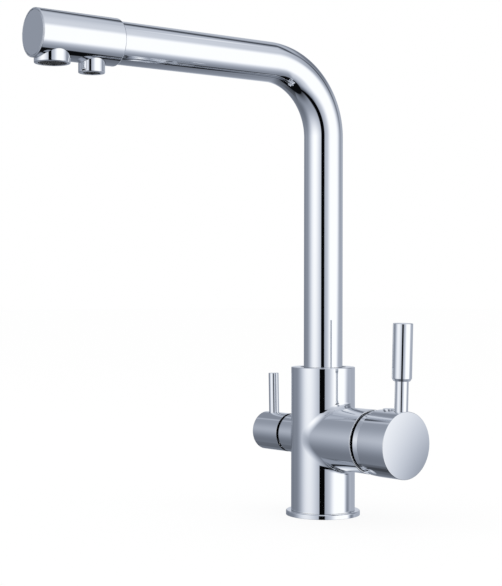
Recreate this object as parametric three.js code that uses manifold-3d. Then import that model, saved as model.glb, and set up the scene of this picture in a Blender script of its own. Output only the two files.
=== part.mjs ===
// Three way kitchen tap: a mixer valve and a filtered water valve share one swivel spout.
// Millimetres, +Z up, origin at the centre of the base on the worktop.
// The mixer branch runs along +X, the filter branch along -X, and the spout points to -Y.

import * as THREE from 'three';
import { mergeVertices } from 'three/addons/utils/BufferGeometryUtils.js';
import Module from 'manifold-3d';

const wasm = await Module();
wasm.setup();

// ---------------------------------------------------------------- driving dimensions

// Clearances
const seatGap = 0.1; // between faces that rest on each other
const slipGap = 0.2; // round a piece that is pushed or screwed in
const runGap = 0.3; // round a piece that turns
const overcut = 1; // how far a cutter runs past the face that it opens

// Facets
const largeSides = 42;
const mediumSides = 28;
const innerSides = 20; // of round pieces that are hidden inside
const smallSides = 16;
const holeSides = 10;

// Column and base
const columnRadius = 23;
const columnTop = 106.5;
const columnChamfer = 0.6;
const flangeRadius = 26.7;
const flangeThickness = 3.4;
const flangeBevel = 0.8;
const baseGasketInner = 21.2;
const baseGasketWidth = 2.6;
const baseGasketHeight = 1.5;

// Hose connection block in the base
const manifoldRadius = 19;
const manifoldHeight = 15;
const manifoldGasketThickness = 1.3;
const inletPitchRadius = 12.6;
const inletRadius = 4.75;
const inletDepth = 11;
const inletAngle = 60; // degrees of the hot and cold inlets each side of +X
const studRadius = 3.4;
const studDepth = 12;

// Mixer branch
const branchHeight = 56.2;
const mixerBranchRadius = 22.5;
const mixerBranchEnd = 50;
const branchEdgeChamfer = 0.5;
const mixerFillet = 5; // where the branch leaves the column, above and below
const mixerSideFillet = 25; // at its sides, where the two walls nearly run on
const filterFillet = 1.5;
const filletSteps = 4;
const filletSink = 0.15; // of the fillet's edges below the walls that it joins
const supplyWayRadius = 3.5;
const mixedWayRadius = 3.2;
const mixedWayOffset = 9.5;

// Ceramic cartridge
const cartridgeSeat = 20;
const cartridgeRadius = 17.5;
const cartridgeSealThickness = 1.5;
const cartridgeBaseThickness = 2;
const cartridgeBoreRadius = 14;
const cartridgeShoulder = 42.9;
const cartridgeRoofThickness = 1.9;
const cartridgeNeckRadius = 14.5;
const cartridgeNeckEnd = 52.5;
const turretRadius = 11.7;
const turretFlangeRadius = 13.5;
const turretFlangeThickness = 3.4;
const turretEnd = 51.5;
const portRadius = 3;
const portSide = 8;
const portDrop = 3.8;
const mixedPortRise = 7.5;
const discThickness = 3;
const fixedDiscRadius = 13.6;
const movingDiscRadius = 10.3;
const mixingPocketRadius = 6.5;
const mixingPocketDepth = 1.2;
const carrierThickness = 6.4;
const stemPivot = 44;
const stemWidth = 8;
const stemEnd = 75.5;
const stemBallRadius = 3.2;
const stemBallArm = 8.5;
const stemNeckRadius = 2.2;
const pinRadius = 1.25;
const flowTilt = 22; // degrees that the lever tilts outward to full flow
const nutThreadRadius = 17.4;
const nutLength = 10;
const nutSlotWidth = 3;
const nutSlotDepth = 2.5;

// Bonnet ring between the branch and the handle
const bonnetRadius = 21.4;
const bonnetSkirtRadius = 20.4;
const bonnetSkirtLength = 1.5;
const bonnetEnd = 56.2;
const bonnetLipRadius = 13.2;
const bonnetLipThickness = 2;
const bonnetChamfer = 0.6;

// Mixer handle
const handleRadius = 23.15;
const handleStart = 57.7;
const handleEnd = 82.5;
const handleWall = 2.75;
const handleFrontThickness = 12.3;
const handleEdgeRound = 0.4;
const handleBossRadius = 8.5;
const handleBossStart = 61.5;
const reliefRise = 1.95; // of the lower back edge, for the tilt
const reliefLength = 8.3;
const handleScrewPlace = 65.6;
const handleScrewRadius = 2.5;
const handleScrewLength = 7;
const plugRadius = 4.1;
const plugStemRadius = 3.1;
const plugStand = 1.1;
const plugStemLength = 4;

// Mixer lever
const leverPlace = 76.5;
const leverLean = 1.6; // degrees outward
const leverRodRadius = 4.7;
const leverSocketDepth = 11;
const leverGripStart = 43.7; // heights above the branch axis
const leverGripEnd = 83.1;
const leverGripRadius = 6.85;
const leverGripTaper = 1.9;
const leverGripMouth = 0.8;
const leverGripRoof = 5;
const leverGripChamfer = 0.5;

// Filter branch and its quarter turn valve
const filterBranchRadius = 14.1;
const filterBranchEnd = 33;
const filterSeat = 17;
const headworkRadius = 10;
const headworkHexWidth = 20;
const headworkHexLength = 5;
const headworkNeckRadius = 7.5;
const headworkNeckLength = 5;
const filterSealThickness = 1.4;
const filterSealWidth = 2.2;
const filterDiscRadius = 7.9;
const filterDiscThickness = 2.4;
const filterDiscHub = 1.8;
const filterDiscOpening = 78; // degrees of each of the two sectors
const filterPortOffset = 4.5;
const filterWayRadius = 2.5;
const spindleRadius = 4;
const spindleFootThickness = 2.8;
const spindleEnd = 52;
const splineLength = 6;
const splineTeeth = 20;
const splineDepth = 0.5;

// Filter handle and lever
const filterHandleRadius = 14.1;
const filterHandleStart = 35.2;
const filterHandleEnd = 62.3;
const filterHandleWall = 1.9;
const filterHandleCavityEnd = 46.5;
const filterHandleRound = 0.6;
const filterLeverPlace = 53.1;
const filterLeverLean = 1.5; // degrees outward
const filterLeverRadius = 3.75;
const filterLeverTop = 43.5; // above the branch axis
const filterLeverSocketDepth = 8;
const filterLeverChamfer = 0.4;
const filterScrewPlace = 49.3;
const filterScrewRadius = 2;
const filterScrewLength = 7.5;

// Spout
const spoutSwivel = 4.64; // degrees from -Y towards -X
const tubeRadius = 14;
const tubeWall = 1.2;
const armHeight = 321.9;
const bendRadius = 50;
const bendSteps = 10;
const socketDepth = 32.5;
const bearingRingThickness = 1.9;
const bearingRingHeight = 6;
const seatHeight = 24;
const seatSpigotLength = 8;
const seatBoreRadius = 8.5;
const seatLowerGroove = 4.5; // groove centres above the foot of the seat
const seatLockGroove = 12;
const seatUpperGroove = 19;
const sealSectionRadius = 1.1;
const sealGrooveWidth = 2.8;
const lockGrooveWidth = 3.4;
const lockGrooveDepth = 1.8;
const lockScrewRadius = 2;
const lockScrewTipRadius = 1.3;
const lockScrewSunk = 1.5;
const innerTubeRadius = 4;
const innerTubeWall = 1.2;
const innerTubeSocketDepth = 8;

// Outlet head
const headRadius = 15.55;
const headFront = 232.3;
const headLength = 58.9;
const headBoreRadius = 12.6;
const headSocketDepth = 6.6;
const headEdgeChamfer = 0.8;
const headCapThickness = 1;
const headCapRadius = 14.3;
const outletRecess = 8.3; // of the outlets' upper ends below the arm's axis

// Aerator
const aeratorSetback = 13.5;
const aeratorRadius = 11.5;
const aeratorDrop = 18;
const aeratorWall = 1.7;
const aeratorLip = 0.7;
const aeratorChamfer = 0.5;
const aeratorInsertHeight = 4.6;
const aeratorWasherThickness = 1.5;
const aeratorWasherWidth = 3;
const gridPitch = 2.5;
const gridWeb = 0.45;
const gridRim = 1.1;

// Filtered water outlet
const nozzleSetback = 41.7;
const nozzleRadius = 8.6;
const nozzleDrop = 21.55;
const nozzleWall = 2.2;
const nozzleLip = 0.7;
const nozzleChamfer = 0.5;
const nozzleInsertHeight = 3.5;
const nozzleInsertHub = 1.4;
const nozzleInsertRim = 0.9;
const nozzleVanes = 8;
const nozzleVaneGap = 30; // degrees open between two vanes
const nozzleWasherThickness = 1.2;
const elbowRadius = 6.1;
const elbowReach = 8; // past the nozzle's axis each way
const elbowSocketDepth = 5;

// ---------------------------------------------------------------- shared derived sizes

const manifoldTop = manifoldHeight + seatGap + manifoldGasketThickness + seatGap;
const socketFloor = columnTop - socketDepth;
const socketRadius = tubeRadius + runGap;
const seatFoot = socketFloor + runGap;
const bearingRingOuter = socketRadius + bearingRingThickness;
const tubeBore = tubeRadius - tubeWall;
const headStart = headFront - headLength;
const aeratorPlace = headFront - aeratorSetback;
const nozzlePlace = headFront - nozzleSetback;
const cartridgeFloor = cartridgeSeat + seatGap + cartridgeSealThickness + seatGap + cartridgeBaseThickness;
const fixedDiscTop = cartridgeFloor + seatGap + discThickness;
const movingDiscTop = fixedDiscTop + slipGap + discThickness;
const headworkFoot = filterSeat + seatGap + filterSealThickness + seatGap;
const filterDiscTop = headworkFoot + filterDiscThickness;
const filterMovingDiscTop = filterDiscTop + slipGap + filterDiscThickness;
const headworkHexEnd = filterBranchEnd + seatGap + headworkHexLength;
const hotInlet = inletPosition(inletAngle);
const coldInlet = inletPosition(-inletAngle);
const filterInlet = inletPosition(180);
const studPlace = inletPosition(0);
const mixerPorts = [[portSide, -portDrop], [-portSide, -portDrop], [0, mixedPortRise]];

// ---------------------------------------------------------------- shape helpers

function inletPosition(degrees) {
  const angle = THREE.MathUtils.degToRad(degrees);
  return [inletPitchRadius * Math.cos(angle), inletPitchRadius * Math.sin(angle)];
}

// A closed mesh with shared corners, without the triangles that collapse on a turning axis.
function toSolid(geometry) {
  const bare = geometry.clone();
  bare.deleteAttribute('normal');
  bare.deleteAttribute('uv');
  const merged = mergeVertices(bare);
  const corners = merged.index.array;
  const triVerts = [];
  for (let i = 0; i < corners.length; i += 3) {
    const [a, b, c] = corners.slice(i, i + 3);
    if (a !== b && b !== c && c !== a) triVerts.push(a, b, c);
  }
  return new wasm.Manifold(new wasm.Mesh({
    numProp: 3,
    vertProperties: new Float32Array(merged.attributes.position.array),
    triVerts: new Uint32Array(triVerts),
  }));
}

function toGeometry(solid) {
  const mesh = solid.getMesh();
  const geometry = new THREE.BufferGeometry();
  geometry.setAttribute('position', new THREE.BufferAttribute(mesh.vertProperties, 3));
  geometry.setIndex(new THREE.BufferAttribute(mesh.triVerts, 1));
  return geometry;
}

function cut(base, ...tools) {
  const solid = tools.reduce((left, tool) => left.subtract(toSolid(tool)), toSolid(base));
  return toGeometry(solid);
}

function join(...pieces) {
  return toGeometry(pieces.map(toSolid).reduce((sum, piece) => sum.add(piece)));
}

// A solid of revolution round z. The section is a list of [radius, height] corners.
function turned(section, sides) {
  const points = section.map(([radius, height]) => new THREE.Vector2(radius, height));
  if (section[0][0] > 0) points.push(points[0].clone());
  if (THREE.ShapeUtils.area(points) < 0) points.reverse();
  return new THREE.LatheGeometry(points, sides).rotateX(Math.PI / 2);
}

function cylinder(radius, low, high, sides, lowChamfer = 0, highChamfer = 0) {
  return turned([
    [0, low],
    [radius - lowChamfer, low],
    [radius, low + lowChamfer],
    [radius, high - highChamfer],
    [radius - highChamfer, high],
    [0, high],
  ], sides);
}

function ring(inner, outer, low, high, sides) {
  return turned([[inner, low], [outer, low], [outer, high], [inner, high]], sides);
}

// A ring of round section, such as an O-ring.
function roundRing(radius, sectionRadius, height, sides) {
  const corners = 6;
  const section = Array.from({ length: corners }, (_, i) => {
    const angle = 2 * Math.PI * (i + 0.5) / corners;
    return [radius + sectionRadius * Math.cos(angle), height + sectionRadius * Math.sin(angle)];
  });
  return turned(section, sides);
}

function box(low, high) {
  const [x, y, z] = high.map((value, i) => value - low[i]);
  const middle = high.map((value, i) => (value + low[i]) / 2);
  return new THREE.BoxGeometry(x, y, z).translate(...middle);
}

// A straight round hole or bar between two points.
function bar(from, to, radius, sides = holeSides) {
  const start = new THREE.Vector3(...from);
  const run = new THREE.Vector3(...to).sub(start);
  const turn = new THREE.Quaternion().setFromUnitVectors(
    new THREE.Vector3(0, 0, 1),
    run.clone().normalize(),
  );
  const geometry = cylinder(radius, 0, run.length(), sides);
  return geometry.applyQuaternion(turn).translate(...from);
}

// A flat plate with holes, from an outline and hole outlines in the plane z = low.
function plate(outline, holes, low, high) {
  const shape = new THREE.Shape(outline);
  shape.holes = holes.map((hole) => new THREE.Path(hole));
  const options = { depth: high - low, bevelEnabled: false, curveSegments: 1 };
  return new THREE.ExtrudeGeometry(shape, options).translate(0, 0, low);
}

function polygon(radius, sides, centre = [0, 0], phase = 0) {
  return Array.from({ length: sides }, (_, i) => {
    const angle = phase + 2 * Math.PI * i / sides;
    return new THREE.Vector2(
      centre[0] + radius * Math.cos(angle),
      centre[1] + radius * Math.sin(angle),
    );
  });
}

// The outline of a ring sector between two radii, centred on an angle.
function sector(inner, outer, middle, opening, steps) {
  const side = (radius, from, to) => Array.from({ length: steps + 1 }, (_, i) => {
    const angle = from + (to - from) * i / steps;
    return new THREE.Vector2(radius * Math.cos(angle), radius * Math.sin(angle));
  });
  const [start, end] = [middle - opening / 2, middle + opening / 2];
  return [...side(outer, start, end), ...side(inner, end, start)];
}

// A closed ring through equal sections, each a list of the same number of points.
function ringOfSections(sections) {
  const size = sections[0].length;
  const corner = (i, j) => (i % sections.length) * size + j % size;
  const index = sections.flatMap((section, i) => section.flatMap((_, j) => [
    corner(i, j), corner(i + 1, j), corner(i + 1, j + 1),
    corner(i, j), corner(i + 1, j + 1), corner(i, j + 1),
  ]));
  return new THREE.BufferGeometry().setFromPoints(sections.flat()).setIndex(index);
}

// A route whose section is set at each station, so that straights take no steps.
class StationRoute extends THREE.Curve {
  constructor(stations) {
    super();
    this.stations = stations;
  }

  between(t, key) {
    const place = t * (this.stations.length - 1);
    const before = Math.min(Math.floor(place), this.stations.length - 2);
    const [from, to] = [this.stations[before][key], this.stations[before + 1][key]];
    return from.clone().lerp(to, place - before);
  }

  getPoint(t) {
    return this.between(t, 'at');
  }

  getPointAt(t) {
    return this.between(t, 'at');
  }

  getTangentAt(t) {
    return this.between(t, 'along').normalize();
  }
}

// A tube up the column, round the bend and out along -Y.
function spoutPipe(outer, inner, foot, reach, sides) {
  const bendFoot = armHeight - bendRadius;
  const stations = [{ at: new THREE.Vector3(0, 0, foot), along: new THREE.Vector3(0, 0, 1) }];
  for (let i = 0; i <= bendSteps; i += 1) {
    const angle = Math.PI / 2 * i / bendSteps;
    const [sin, cos] = [Math.sin(angle), Math.cos(angle)];
    stations.push({
      at: new THREE.Vector3(0, -bendRadius * (1 - cos), bendFoot + bendRadius * sin),
      along: new THREE.Vector3(0, -sin, cos),
    });
  }
  stations.push({ at: new THREE.Vector3(0, -reach, armHeight), along: new THREE.Vector3(0, -1, 0) });
  const shape = new THREE.Shape(polygon(outer, sides));
  shape.holes = [new THREE.Path(polygon(inner, sides))];
  return new THREE.ExtrudeGeometry(shape, {
    steps: stations.length - 1,
    curveSegments: 1,
    extrudePath: new StationRoute(stations),
  });
}

// Local z runs out along a branch and local y points up; side is 1 for +X and -1 for -X.
function branchFrame(side) {
  const out = new THREE.Vector3(side, 0, 0);
  const up = new THREE.Vector3(0, 0, 1);
  const across = up.clone().cross(out);
  return new THREE.Matrix4().makeBasis(across, up, out).setPosition(0, 0, branchHeight);
}

// ---------------------------------------------------------------- finishes and scene graph

const finishes = {
  chrome: { color: 0xd9dde2, roughness: 0.08, metalness: 1 },
  brass: { color: 0xb99a5a, roughness: 0.35, metalness: 1 },
  steel: { color: 0xa9adb2, roughness: 0.3, metalness: 1 },
  rubber: { color: 0x1c1c1e, roughness: 0.85, metalness: 0 },
  blackPlastic: { color: 0x232427, roughness: 0.5, metalness: 0 },
  whitePlastic: { color: 0xe6e6e0, roughness: 0.45, metalness: 0 },
  ceramic: { color: 0xf2efe8, roughness: 0.25, metalness: 0 },
};

const tap = new THREE.Group();
const spoutGroup = new THREE.Group();
spoutGroup.rotation.z = -THREE.MathUtils.degToRad(spoutSwivel);
const mixerGroup = new THREE.Group();
mixerGroup.applyMatrix4(branchFrame(1));
const filterGroup = new THREE.Group();
filterGroup.applyMatrix4(branchFrame(-1));
tap.add(spoutGroup, mixerGroup, filterGroup);

function addPiece(group, name, finish, geometry) {
  const material = new THREE.MeshStandardMaterial(finishes[finish]);
  const mesh = new THREE.Mesh(toGeometry(toSolid(geometry)), material);
  mesh.name = name;
  group.add(mesh);
}

// ---------------------------------------------------------------- base

function baseFlange() {
  const grooveDepth = baseGasketHeight + seatGap;
  const grooveInner = baseGasketInner - slipGap;
  const grooveOuter = baseGasketInner + baseGasketWidth + slipGap;
  const bore = manifoldRadius + slipGap;
  return turned([
    [bore, 0],
    [grooveInner, 0],
    [grooveInner, grooveDepth],
    [grooveOuter, grooveDepth],
    [grooveOuter, 0],
    [flangeRadius, 0],
    [flangeRadius, flangeThickness - flangeBevel],
    [flangeRadius - flangeBevel, flangeThickness],
    [bore, flangeThickness],
  ], largeSides);
}

function baseGasket() {
  return ring(baseGasketInner, baseGasketInner + baseGasketWidth, 0, baseGasketHeight, mediumSides);
}

// Three hose sockets and a stud hole, with the ways on to the body.
function hoseManifold() {
  const inlets = [hotInlet, coldInlet, filterInlet];
  const sockets = inlets.map((at) => bar([...at, -overcut], [...at, inletDepth], inletRadius, smallSides));
  const ways = inlets.map((at) => bar([...at, 0], [...at, manifoldHeight + overcut], supplyWayRadius));
  const stud = bar([...studPlace, -overcut], [...studPlace, studDepth], studRadius);
  const block = cylinder(manifoldRadius, 0, manifoldHeight, mediumSides);
  return cut(block, ...sockets, ...ways, stud);
}

function manifoldGasket() {
  const low = manifoldHeight + seatGap;
  const holes = [hotInlet, coldInlet, filterInlet].map((at) => polygon(supplyWayRadius, holeSides, at));
  const outline = polygon(manifoldRadius - slipGap, innerSides);
  return plate(outline, holes, low, low + manifoldGasketThickness);
}

// ---------------------------------------------------------------- body casting

// The hollow corner round a branch, as a ball leaves it that rolls on the column and the branch.
// Made in the branch's frame; the ball grows from one radius to another at the branch's sides.
function branchFillet(branchRadius, fillet, sideFillet, sides) {
  const sections = Array.from({ length: sides }, (_, i) => {
    const angle = 2 * Math.PI * i / sides;
    const [cos, sin] = [Math.cos(angle), Math.sin(angle)];
    const ball = fillet + (sideFillet - fillet) * cos ** 4;
    const [x, y] = [(branchRadius + ball) * cos, (branchRadius + ball) * sin];
    const centre = new THREE.Vector3(x, y, Math.sqrt((columnRadius + ball) ** 2 - x ** 2));
    const toColumn = new THREE.Vector3(-x, 0, -centre.z).normalize();
    const toBranch = new THREE.Vector3(-x, -y, 0).normalize();
    const corner = toColumn.angleTo(toBranch);
    const arc = Array.from({ length: filletSteps + 1 }, (__, step) => {
      const share = step / filletSteps;
      const reach = step % filletSteps === 0 ? ball + filletSink : ball;
      const way = toColumn.clone().multiplyScalar(Math.sin((1 - share) * corner))
        .addScaledVector(toBranch, Math.sin(share * corner))
        .divideScalar(Math.sin(corner));
      return centre.clone().addScaledVector(way, reach);
    });
    const inside = branchRadius - 2 * filletSink;
    const root = Math.sqrt(columnRadius ** 2 - (inside * cos) ** 2) - 2 * filletSink;
    return [...arc, new THREE.Vector3(inside * cos, inside * sin, root)];
  });
  return ringOfSections(sections);
}

function bodyOutside() {
  const column = cylinder(
    columnRadius, flangeThickness + seatGap, columnTop, largeSides, 0, columnChamfer,
  );
  const mixerBranch = cylinder(
    mixerBranchRadius, 0, mixerBranchEnd, largeSides, 0, branchEdgeChamfer,
  );
  const filterBranch = cylinder(
    filterBranchRadius, 0, filterBranchEnd, mediumSides, 0, branchEdgeChamfer,
  );
  const mixerCorner = branchFillet(mixerBranchRadius, mixerFillet, mixerSideFillet, largeSides);
  const filterCorner = branchFillet(filterBranchRadius, filterFillet, filterFillet, mediumSides);
  return join(
    column,
    mixerBranch.applyMatrix4(branchFrame(1)),
    filterBranch.applyMatrix4(branchFrame(-1)),
    mixerCorner.applyMatrix4(branchFrame(1)),
    filterCorner.applyMatrix4(branchFrame(-1)),
  );
}

// Hot and cold water rise beside the middle and turn out to the cartridge.
function supplyWays() {
  const portHeight = branchHeight - portDrop;
  return [[hotInlet, portSide], [coldInlet, -portSide]].flatMap(([at, side]) => [
    bar([...at, manifoldTop - overcut], [...at, portHeight + supplyWayRadius], supplyWayRadius),
    bar([at[0], side, portHeight], [cartridgeSeat + overcut, side, portHeight], portRadius),
  ]);
}

// Mixed water leaves the cartridge and rises to the spout socket.
function mixedWay() {
  const height = branchHeight + mixedPortRise;
  return [
    bar([mixedWayOffset, 0, height], [cartridgeSeat + overcut, 0, height], portRadius),
    bar([mixedWayOffset, 0, height], [mixedWayOffset, 0, socketFloor + overcut], mixedWayRadius),
  ];
}

// Filtered water passes its own valve and rises in the middle, apart from the mixed water.
function filterWays() {
  const low = branchHeight - filterPortOffset;
  const high = branchHeight + filterPortOffset;
  return [
    bar([...filterInlet, manifoldTop - overcut], [...filterInlet, low + filterWayRadius], filterWayRadius),
    bar([filterInlet[0], 0, low], [-filterSeat - overcut, 0, low], filterWayRadius),
    bar([-filterSeat - overcut, 0, high], [0, 0, high], filterWayRadius),
    bar([0, 0, high - filterWayRadius], [0, 0, socketFloor + overcut], filterWayRadius),
  ];
}

function bodyCasting() {
  const spoutSocket = cylinder(socketRadius, socketFloor, columnTop + overcut, mediumSides);
  const ringSeat = cylinder(
    bearingRingOuter + slipGap,
    columnTop - bearingRingHeight - seatGap,
    columnTop + overcut,
    mediumSides,
  );
  const innerTubeSocket = cylinder(
    innerTubeRadius + runGap,
    socketFloor - innerTubeSocketDepth,
    socketFloor + overcut,
    smallSides,
  );
  const cartridgeBore = cylinder(
    cartridgeRadius + runGap, cartridgeSeat, mixerBranchEnd + overcut, largeSides,
  );
  const headworkBore = cylinder(
    headworkRadius + runGap, filterSeat, filterBranchEnd + overcut, mediumSides,
  );
  const manifoldRecess = cylinder(manifoldRadius + slipGap, 0, manifoldTop, mediumSides);
  const lockHeight = seatFoot + seatLockGroove;
  const lockHole = bar(
    [0, tubeRadius - overcut, lockHeight],
    [0, columnRadius + overcut, lockHeight],
    lockScrewRadius + slipGap,
  );
  return cut(
    bodyOutside(),
    spoutSocket,
    ringSeat,
    innerTubeSocket,
    cartridgeBore.applyMatrix4(branchFrame(1)),
    headworkBore.applyMatrix4(branchFrame(-1)),
    manifoldRecess,
    lockHole,
    ...supplyWays(),
    ...mixedWay(),
    ...filterWays(),
  );
}

function spoutBearingRing() {
  const low = columnTop - bearingRingHeight;
  return ring(socketRadius, bearingRingOuter, low, columnTop - seatGap, mediumSides);
}

// A grub screw whose tip runs in the groove of the spout's seat.
function spoutLockScrew() {
  const tip = tubeRadius - lockGrooveDepth + runGap;
  const shoulder = socketRadius + runGap;
  const end = columnRadius - lockScrewSunk;
  const screw = turned([
    [0, tip],
    [lockScrewTipRadius, tip],
    [lockScrewTipRadius, shoulder],
    [lockScrewRadius, shoulder],
    [lockScrewRadius, end],
    [0, end],
  ], holeSides);
  const key = plate(polygon(lockScrewRadius / 2, 6), [], end - lockScrewRadius, end + overcut);
  return cut(screw, key).rotateX(-Math.PI / 2).translate(0, 0, seatFoot + seatLockGroove);
}

// ---------------------------------------------------------------- cartridge and bonnet

function cartridgeSeal() {
  const low = cartridgeSeat + seatGap;
  const holes = mixerPorts.map((at) => polygon(portRadius, holeSides, at));
  const outline = polygon(cartridgeRadius - slipGap, innerSides);
  return plate(outline, holes, low, low + cartridgeSealThickness);
}

function cartridgeHousing() {
  const foot = cartridgeFloor - cartridgeBaseThickness;
  const neckBore = turretRadius + runGap;
  const roof = cartridgeShoulder - cartridgeRoofThickness;
  const shell = turned([
    [0, foot],
    [cartridgeRadius, foot],
    [cartridgeRadius, cartridgeShoulder],
    [cartridgeNeckRadius, cartridgeShoulder],
    [cartridgeNeckRadius, cartridgeNeckEnd],
    [neckBore, cartridgeNeckEnd],
    [neckBore, roof],
    [cartridgeBoreRadius, roof],
    [cartridgeBoreRadius, cartridgeFloor],
    [0, cartridgeFloor],
  ], innerSides);
  const ports = mixerPorts.map((at) => bar(
    [...at, foot - overcut], [...at, cartridgeFloor + overcut], portRadius,
  ));
  return cut(shell, ...ports);
}

function cartridgeFixedDisc() {
  const holes = mixerPorts.map((at) => polygon(portRadius, holeSides, at));
  const outline = polygon(fixedDiscRadius, innerSides);
  return plate(outline, holes, cartridgeFloor + seatGap, fixedDiscTop);
}

// The pocket on its lower face joins the hot and cold ports to the mixed one.
function cartridgeMovingDisc() {
  const low = fixedDiscTop + slipGap;
  const disc = cylinder(movingDiscRadius, low, movingDiscTop, innerSides);
  return cut(disc, cylinder(
    mixingPocketRadius, low - overcut, low + mixingPocketDepth, smallSides,
  ));
}

function discCarrier() {
  const low = movingDiscTop + seatGap;
  const high = low + carrierThickness;
  const pocketFloor = stemPivot - stemBallArm - stemBallRadius - runGap;
  const pocket = cylinder(stemBallRadius + runGap, pocketFloor, high + overcut, smallSides);
  return cut(cylinder(movingDiscRadius, low, high, innerSides), pocket);
}

// Its flange turns under the housing's roof, and its slot lets the stem tilt.
function cartridgeTurret() {
  const flangeTop = cartridgeShoulder - cartridgeRoofThickness - runGap;
  const low = flangeTop - turretFlangeThickness;
  const turret = turned([
    [0, low],
    [turretFlangeRadius, low],
    [turretFlangeRadius, flangeTop],
    [turretRadius, flangeTop],
    [turretRadius, turretEnd],
    [0, turretEnd],
  ], innerSides);
  const halfWidth = stemWidth / 2 + runGap;
  const reach = Math.max(turretEnd - stemPivot, stemPivot - low);
  const tilt = THREE.MathUtils.degToRad(flowTilt);
  const halfSlot = reach * Math.tan(tilt) + stemWidth / 2 / Math.cos(tilt) + runGap;
  const slot = box([-halfWidth, -halfSlot, low - overcut], [halfWidth, halfSlot, turretEnd + overcut]);
  const pinHole = bar(
    [-turretRadius - overcut, 0, stemPivot],
    [turretRadius + overcut, 0, stemPivot],
    pinRadius + slipGap,
  );
  return cut(turret, slot, pinHole);
}

function stemPin() {
  const half = turretRadius - runGap;
  return bar([-half, 0, stemPivot], [half, 0, stemPivot], pinRadius);
}

// A square bar on a pivot pin, with a ball that pushes the disc carrier.
function cartridgeStem() {
  const half = stemWidth / 2;
  const ballPlace = stemPivot - stemBallArm;
  const barStart = ballPlace + stemBallRadius;
  const ball = new THREE.SphereGeometry(stemBallRadius, holeSides, holeSides / 2);
  const neck = cylinder(stemNeckRadius, ballPlace, barStart + overcut, holeSides);
  const square = box([-half, -half, barStart], [half, half, stemEnd]);
  const pinHole = bar(
    [-half - overcut, 0, stemPivot], [half + overcut, 0, stemPivot], pinRadius + slipGap,
  );
  return cut(join(ball.translate(0, 0, ballPlace), neck, square), pinHole);
}

// A slotted ring that presses the cartridge onto its seat.
function cartridgeNut() {
  const low = cartridgeShoulder + seatGap;
  const high = low + nutLength;
  const nut = ring(cartridgeNeckRadius + runGap, nutThreadRadius, low, high, innerSides);
  const slots = [0, 1, 2].map((i) => {
    const reach = nutThreadRadius + overcut;
    const half = nutSlotWidth / 2;
    const slot = box([-reach, -half, high - nutSlotDepth], [reach, half, high + overcut]);
    return slot.rotateZ(Math.PI / 3 * i);
  });
  return cut(nut, ...slots);
}

function bonnetRing() {
  const low = mixerBranchEnd + seatGap;
  const skirtEnd = low + bonnetSkirtLength;
  const bore = nutThreadRadius + slipGap;
  return turned([
    [bore, low],
    [bonnetSkirtRadius, low],
    [bonnetSkirtRadius, skirtEnd],
    [bonnetRadius, skirtEnd],
    [bonnetRadius, bonnetEnd - bonnetChamfer],
    [bonnetRadius - bonnetChamfer, bonnetEnd],
    [bonnetLipRadius, bonnetEnd],
    [bonnetLipRadius, bonnetEnd - bonnetLipThickness],
    [bore, bonnetEnd - bonnetLipThickness],
  ], largeSides);
}

// ---------------------------------------------------------------- mixer handle and lever

// Local frame of the lever: z runs up the rod from the branch axis, leaning outward.
function leverFrame(place, lean) {
  const turn = new THREE.Matrix4().makeRotationX(THREE.MathUtils.degToRad(lean) - Math.PI / 2);
  return turn.setPosition(0, 0, place);
}

function mixerHandle() {
  const cavityRadius = handleRadius - handleWall;
  const front = handleEnd - handleFrontThickness;
  const halfBoss = handleBossRadius;
  const shell = turned([
    [0, handleBossStart],
    [handleBossRadius, handleBossStart],
    [handleBossRadius, front],
    [cavityRadius, front],
    [cavityRadius, handleStart],
    [handleRadius, handleStart],
    [handleRadius, handleEnd - handleEdgeRound],
    [handleRadius - handleEdgeRound, handleEnd],
    [0, handleEnd],
  ], largeSides);
  const rib = box([-halfBoss, 0, handleBossStart], [halfBoss, cavityRadius, front + overcut]);
  const half = stemWidth / 2 + slipGap;
  const stemSocket = box([-half, -half, handleBossStart - overcut], [half, half, stemEnd + slipGap]);
  const screwHole = bar(
    [0, 0, handleScrewPlace],
    [0, handleRadius + overcut, handleScrewPlace],
    handleScrewRadius + slipGap,
  );
  const plugHole = bar(
    [0, handleRadius - plugStemLength - slipGap, handleScrewPlace],
    [0, handleRadius + overcut, handleScrewPlace],
    plugStemRadius + slipGap,
    smallSides,
  );
  const leverHole = cylinder(
    leverRodRadius + slipGap, handleRadius - leverSocketDepth, handleRadius + overcut, smallSides,
  );
  return cut(
    join(shell, rib),
    stemSocket,
    screwHole,
    plugHole,
    leverHole.applyMatrix4(leverFrame(leverPlace, leverLean)),
    handleRelief(),
  );
}

// The lower back edge is cut away at a slant, so that the handle can tilt over the branch.
function handleRelief() {
  const outline = [
    [handleStart - overcut, handleRadius + overcut],
    [handleStart - overcut, handleRadius - reliefRise * (1 + overcut / reliefLength)],
    [handleStart + reliefLength, handleRadius],
    [handleStart + reliefLength, handleRadius + overcut],
  ].map(([along, drop]) => new THREE.Vector2(along, -drop));
  const wedge = plate(outline, [], -handleRadius, handleRadius);
  return wedge.rotateY(-Math.PI / 2);
}

function handleScrew() {
  const tip = stemWidth / 2 + seatGap;
  const end = tip + handleScrewLength;
  const screw = cylinder(handleScrewRadius, tip, end, holeSides);
  const key = plate(polygon(handleScrewRadius / 2, 6), [], end - handleScrewRadius, end + overcut);
  return cut(screw, key).applyMatrix4(leverFrame(handleScrewPlace, 0));
}

// A round plug that closes the screw's hole and stands a little proud.
function handlePlug() {
  const flat = handleRadius + seatGap;
  return turned([
    [0, handleRadius - plugStemLength],
    [plugStemRadius, handleRadius - plugStemLength],
    [plugStemRadius, flat],
    [plugRadius, flat],
    [plugRadius, handleRadius + plugStand],
    [0, handleRadius + plugStand],
  ], smallSides).applyMatrix4(leverFrame(handleScrewPlace, 0));
}

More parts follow.
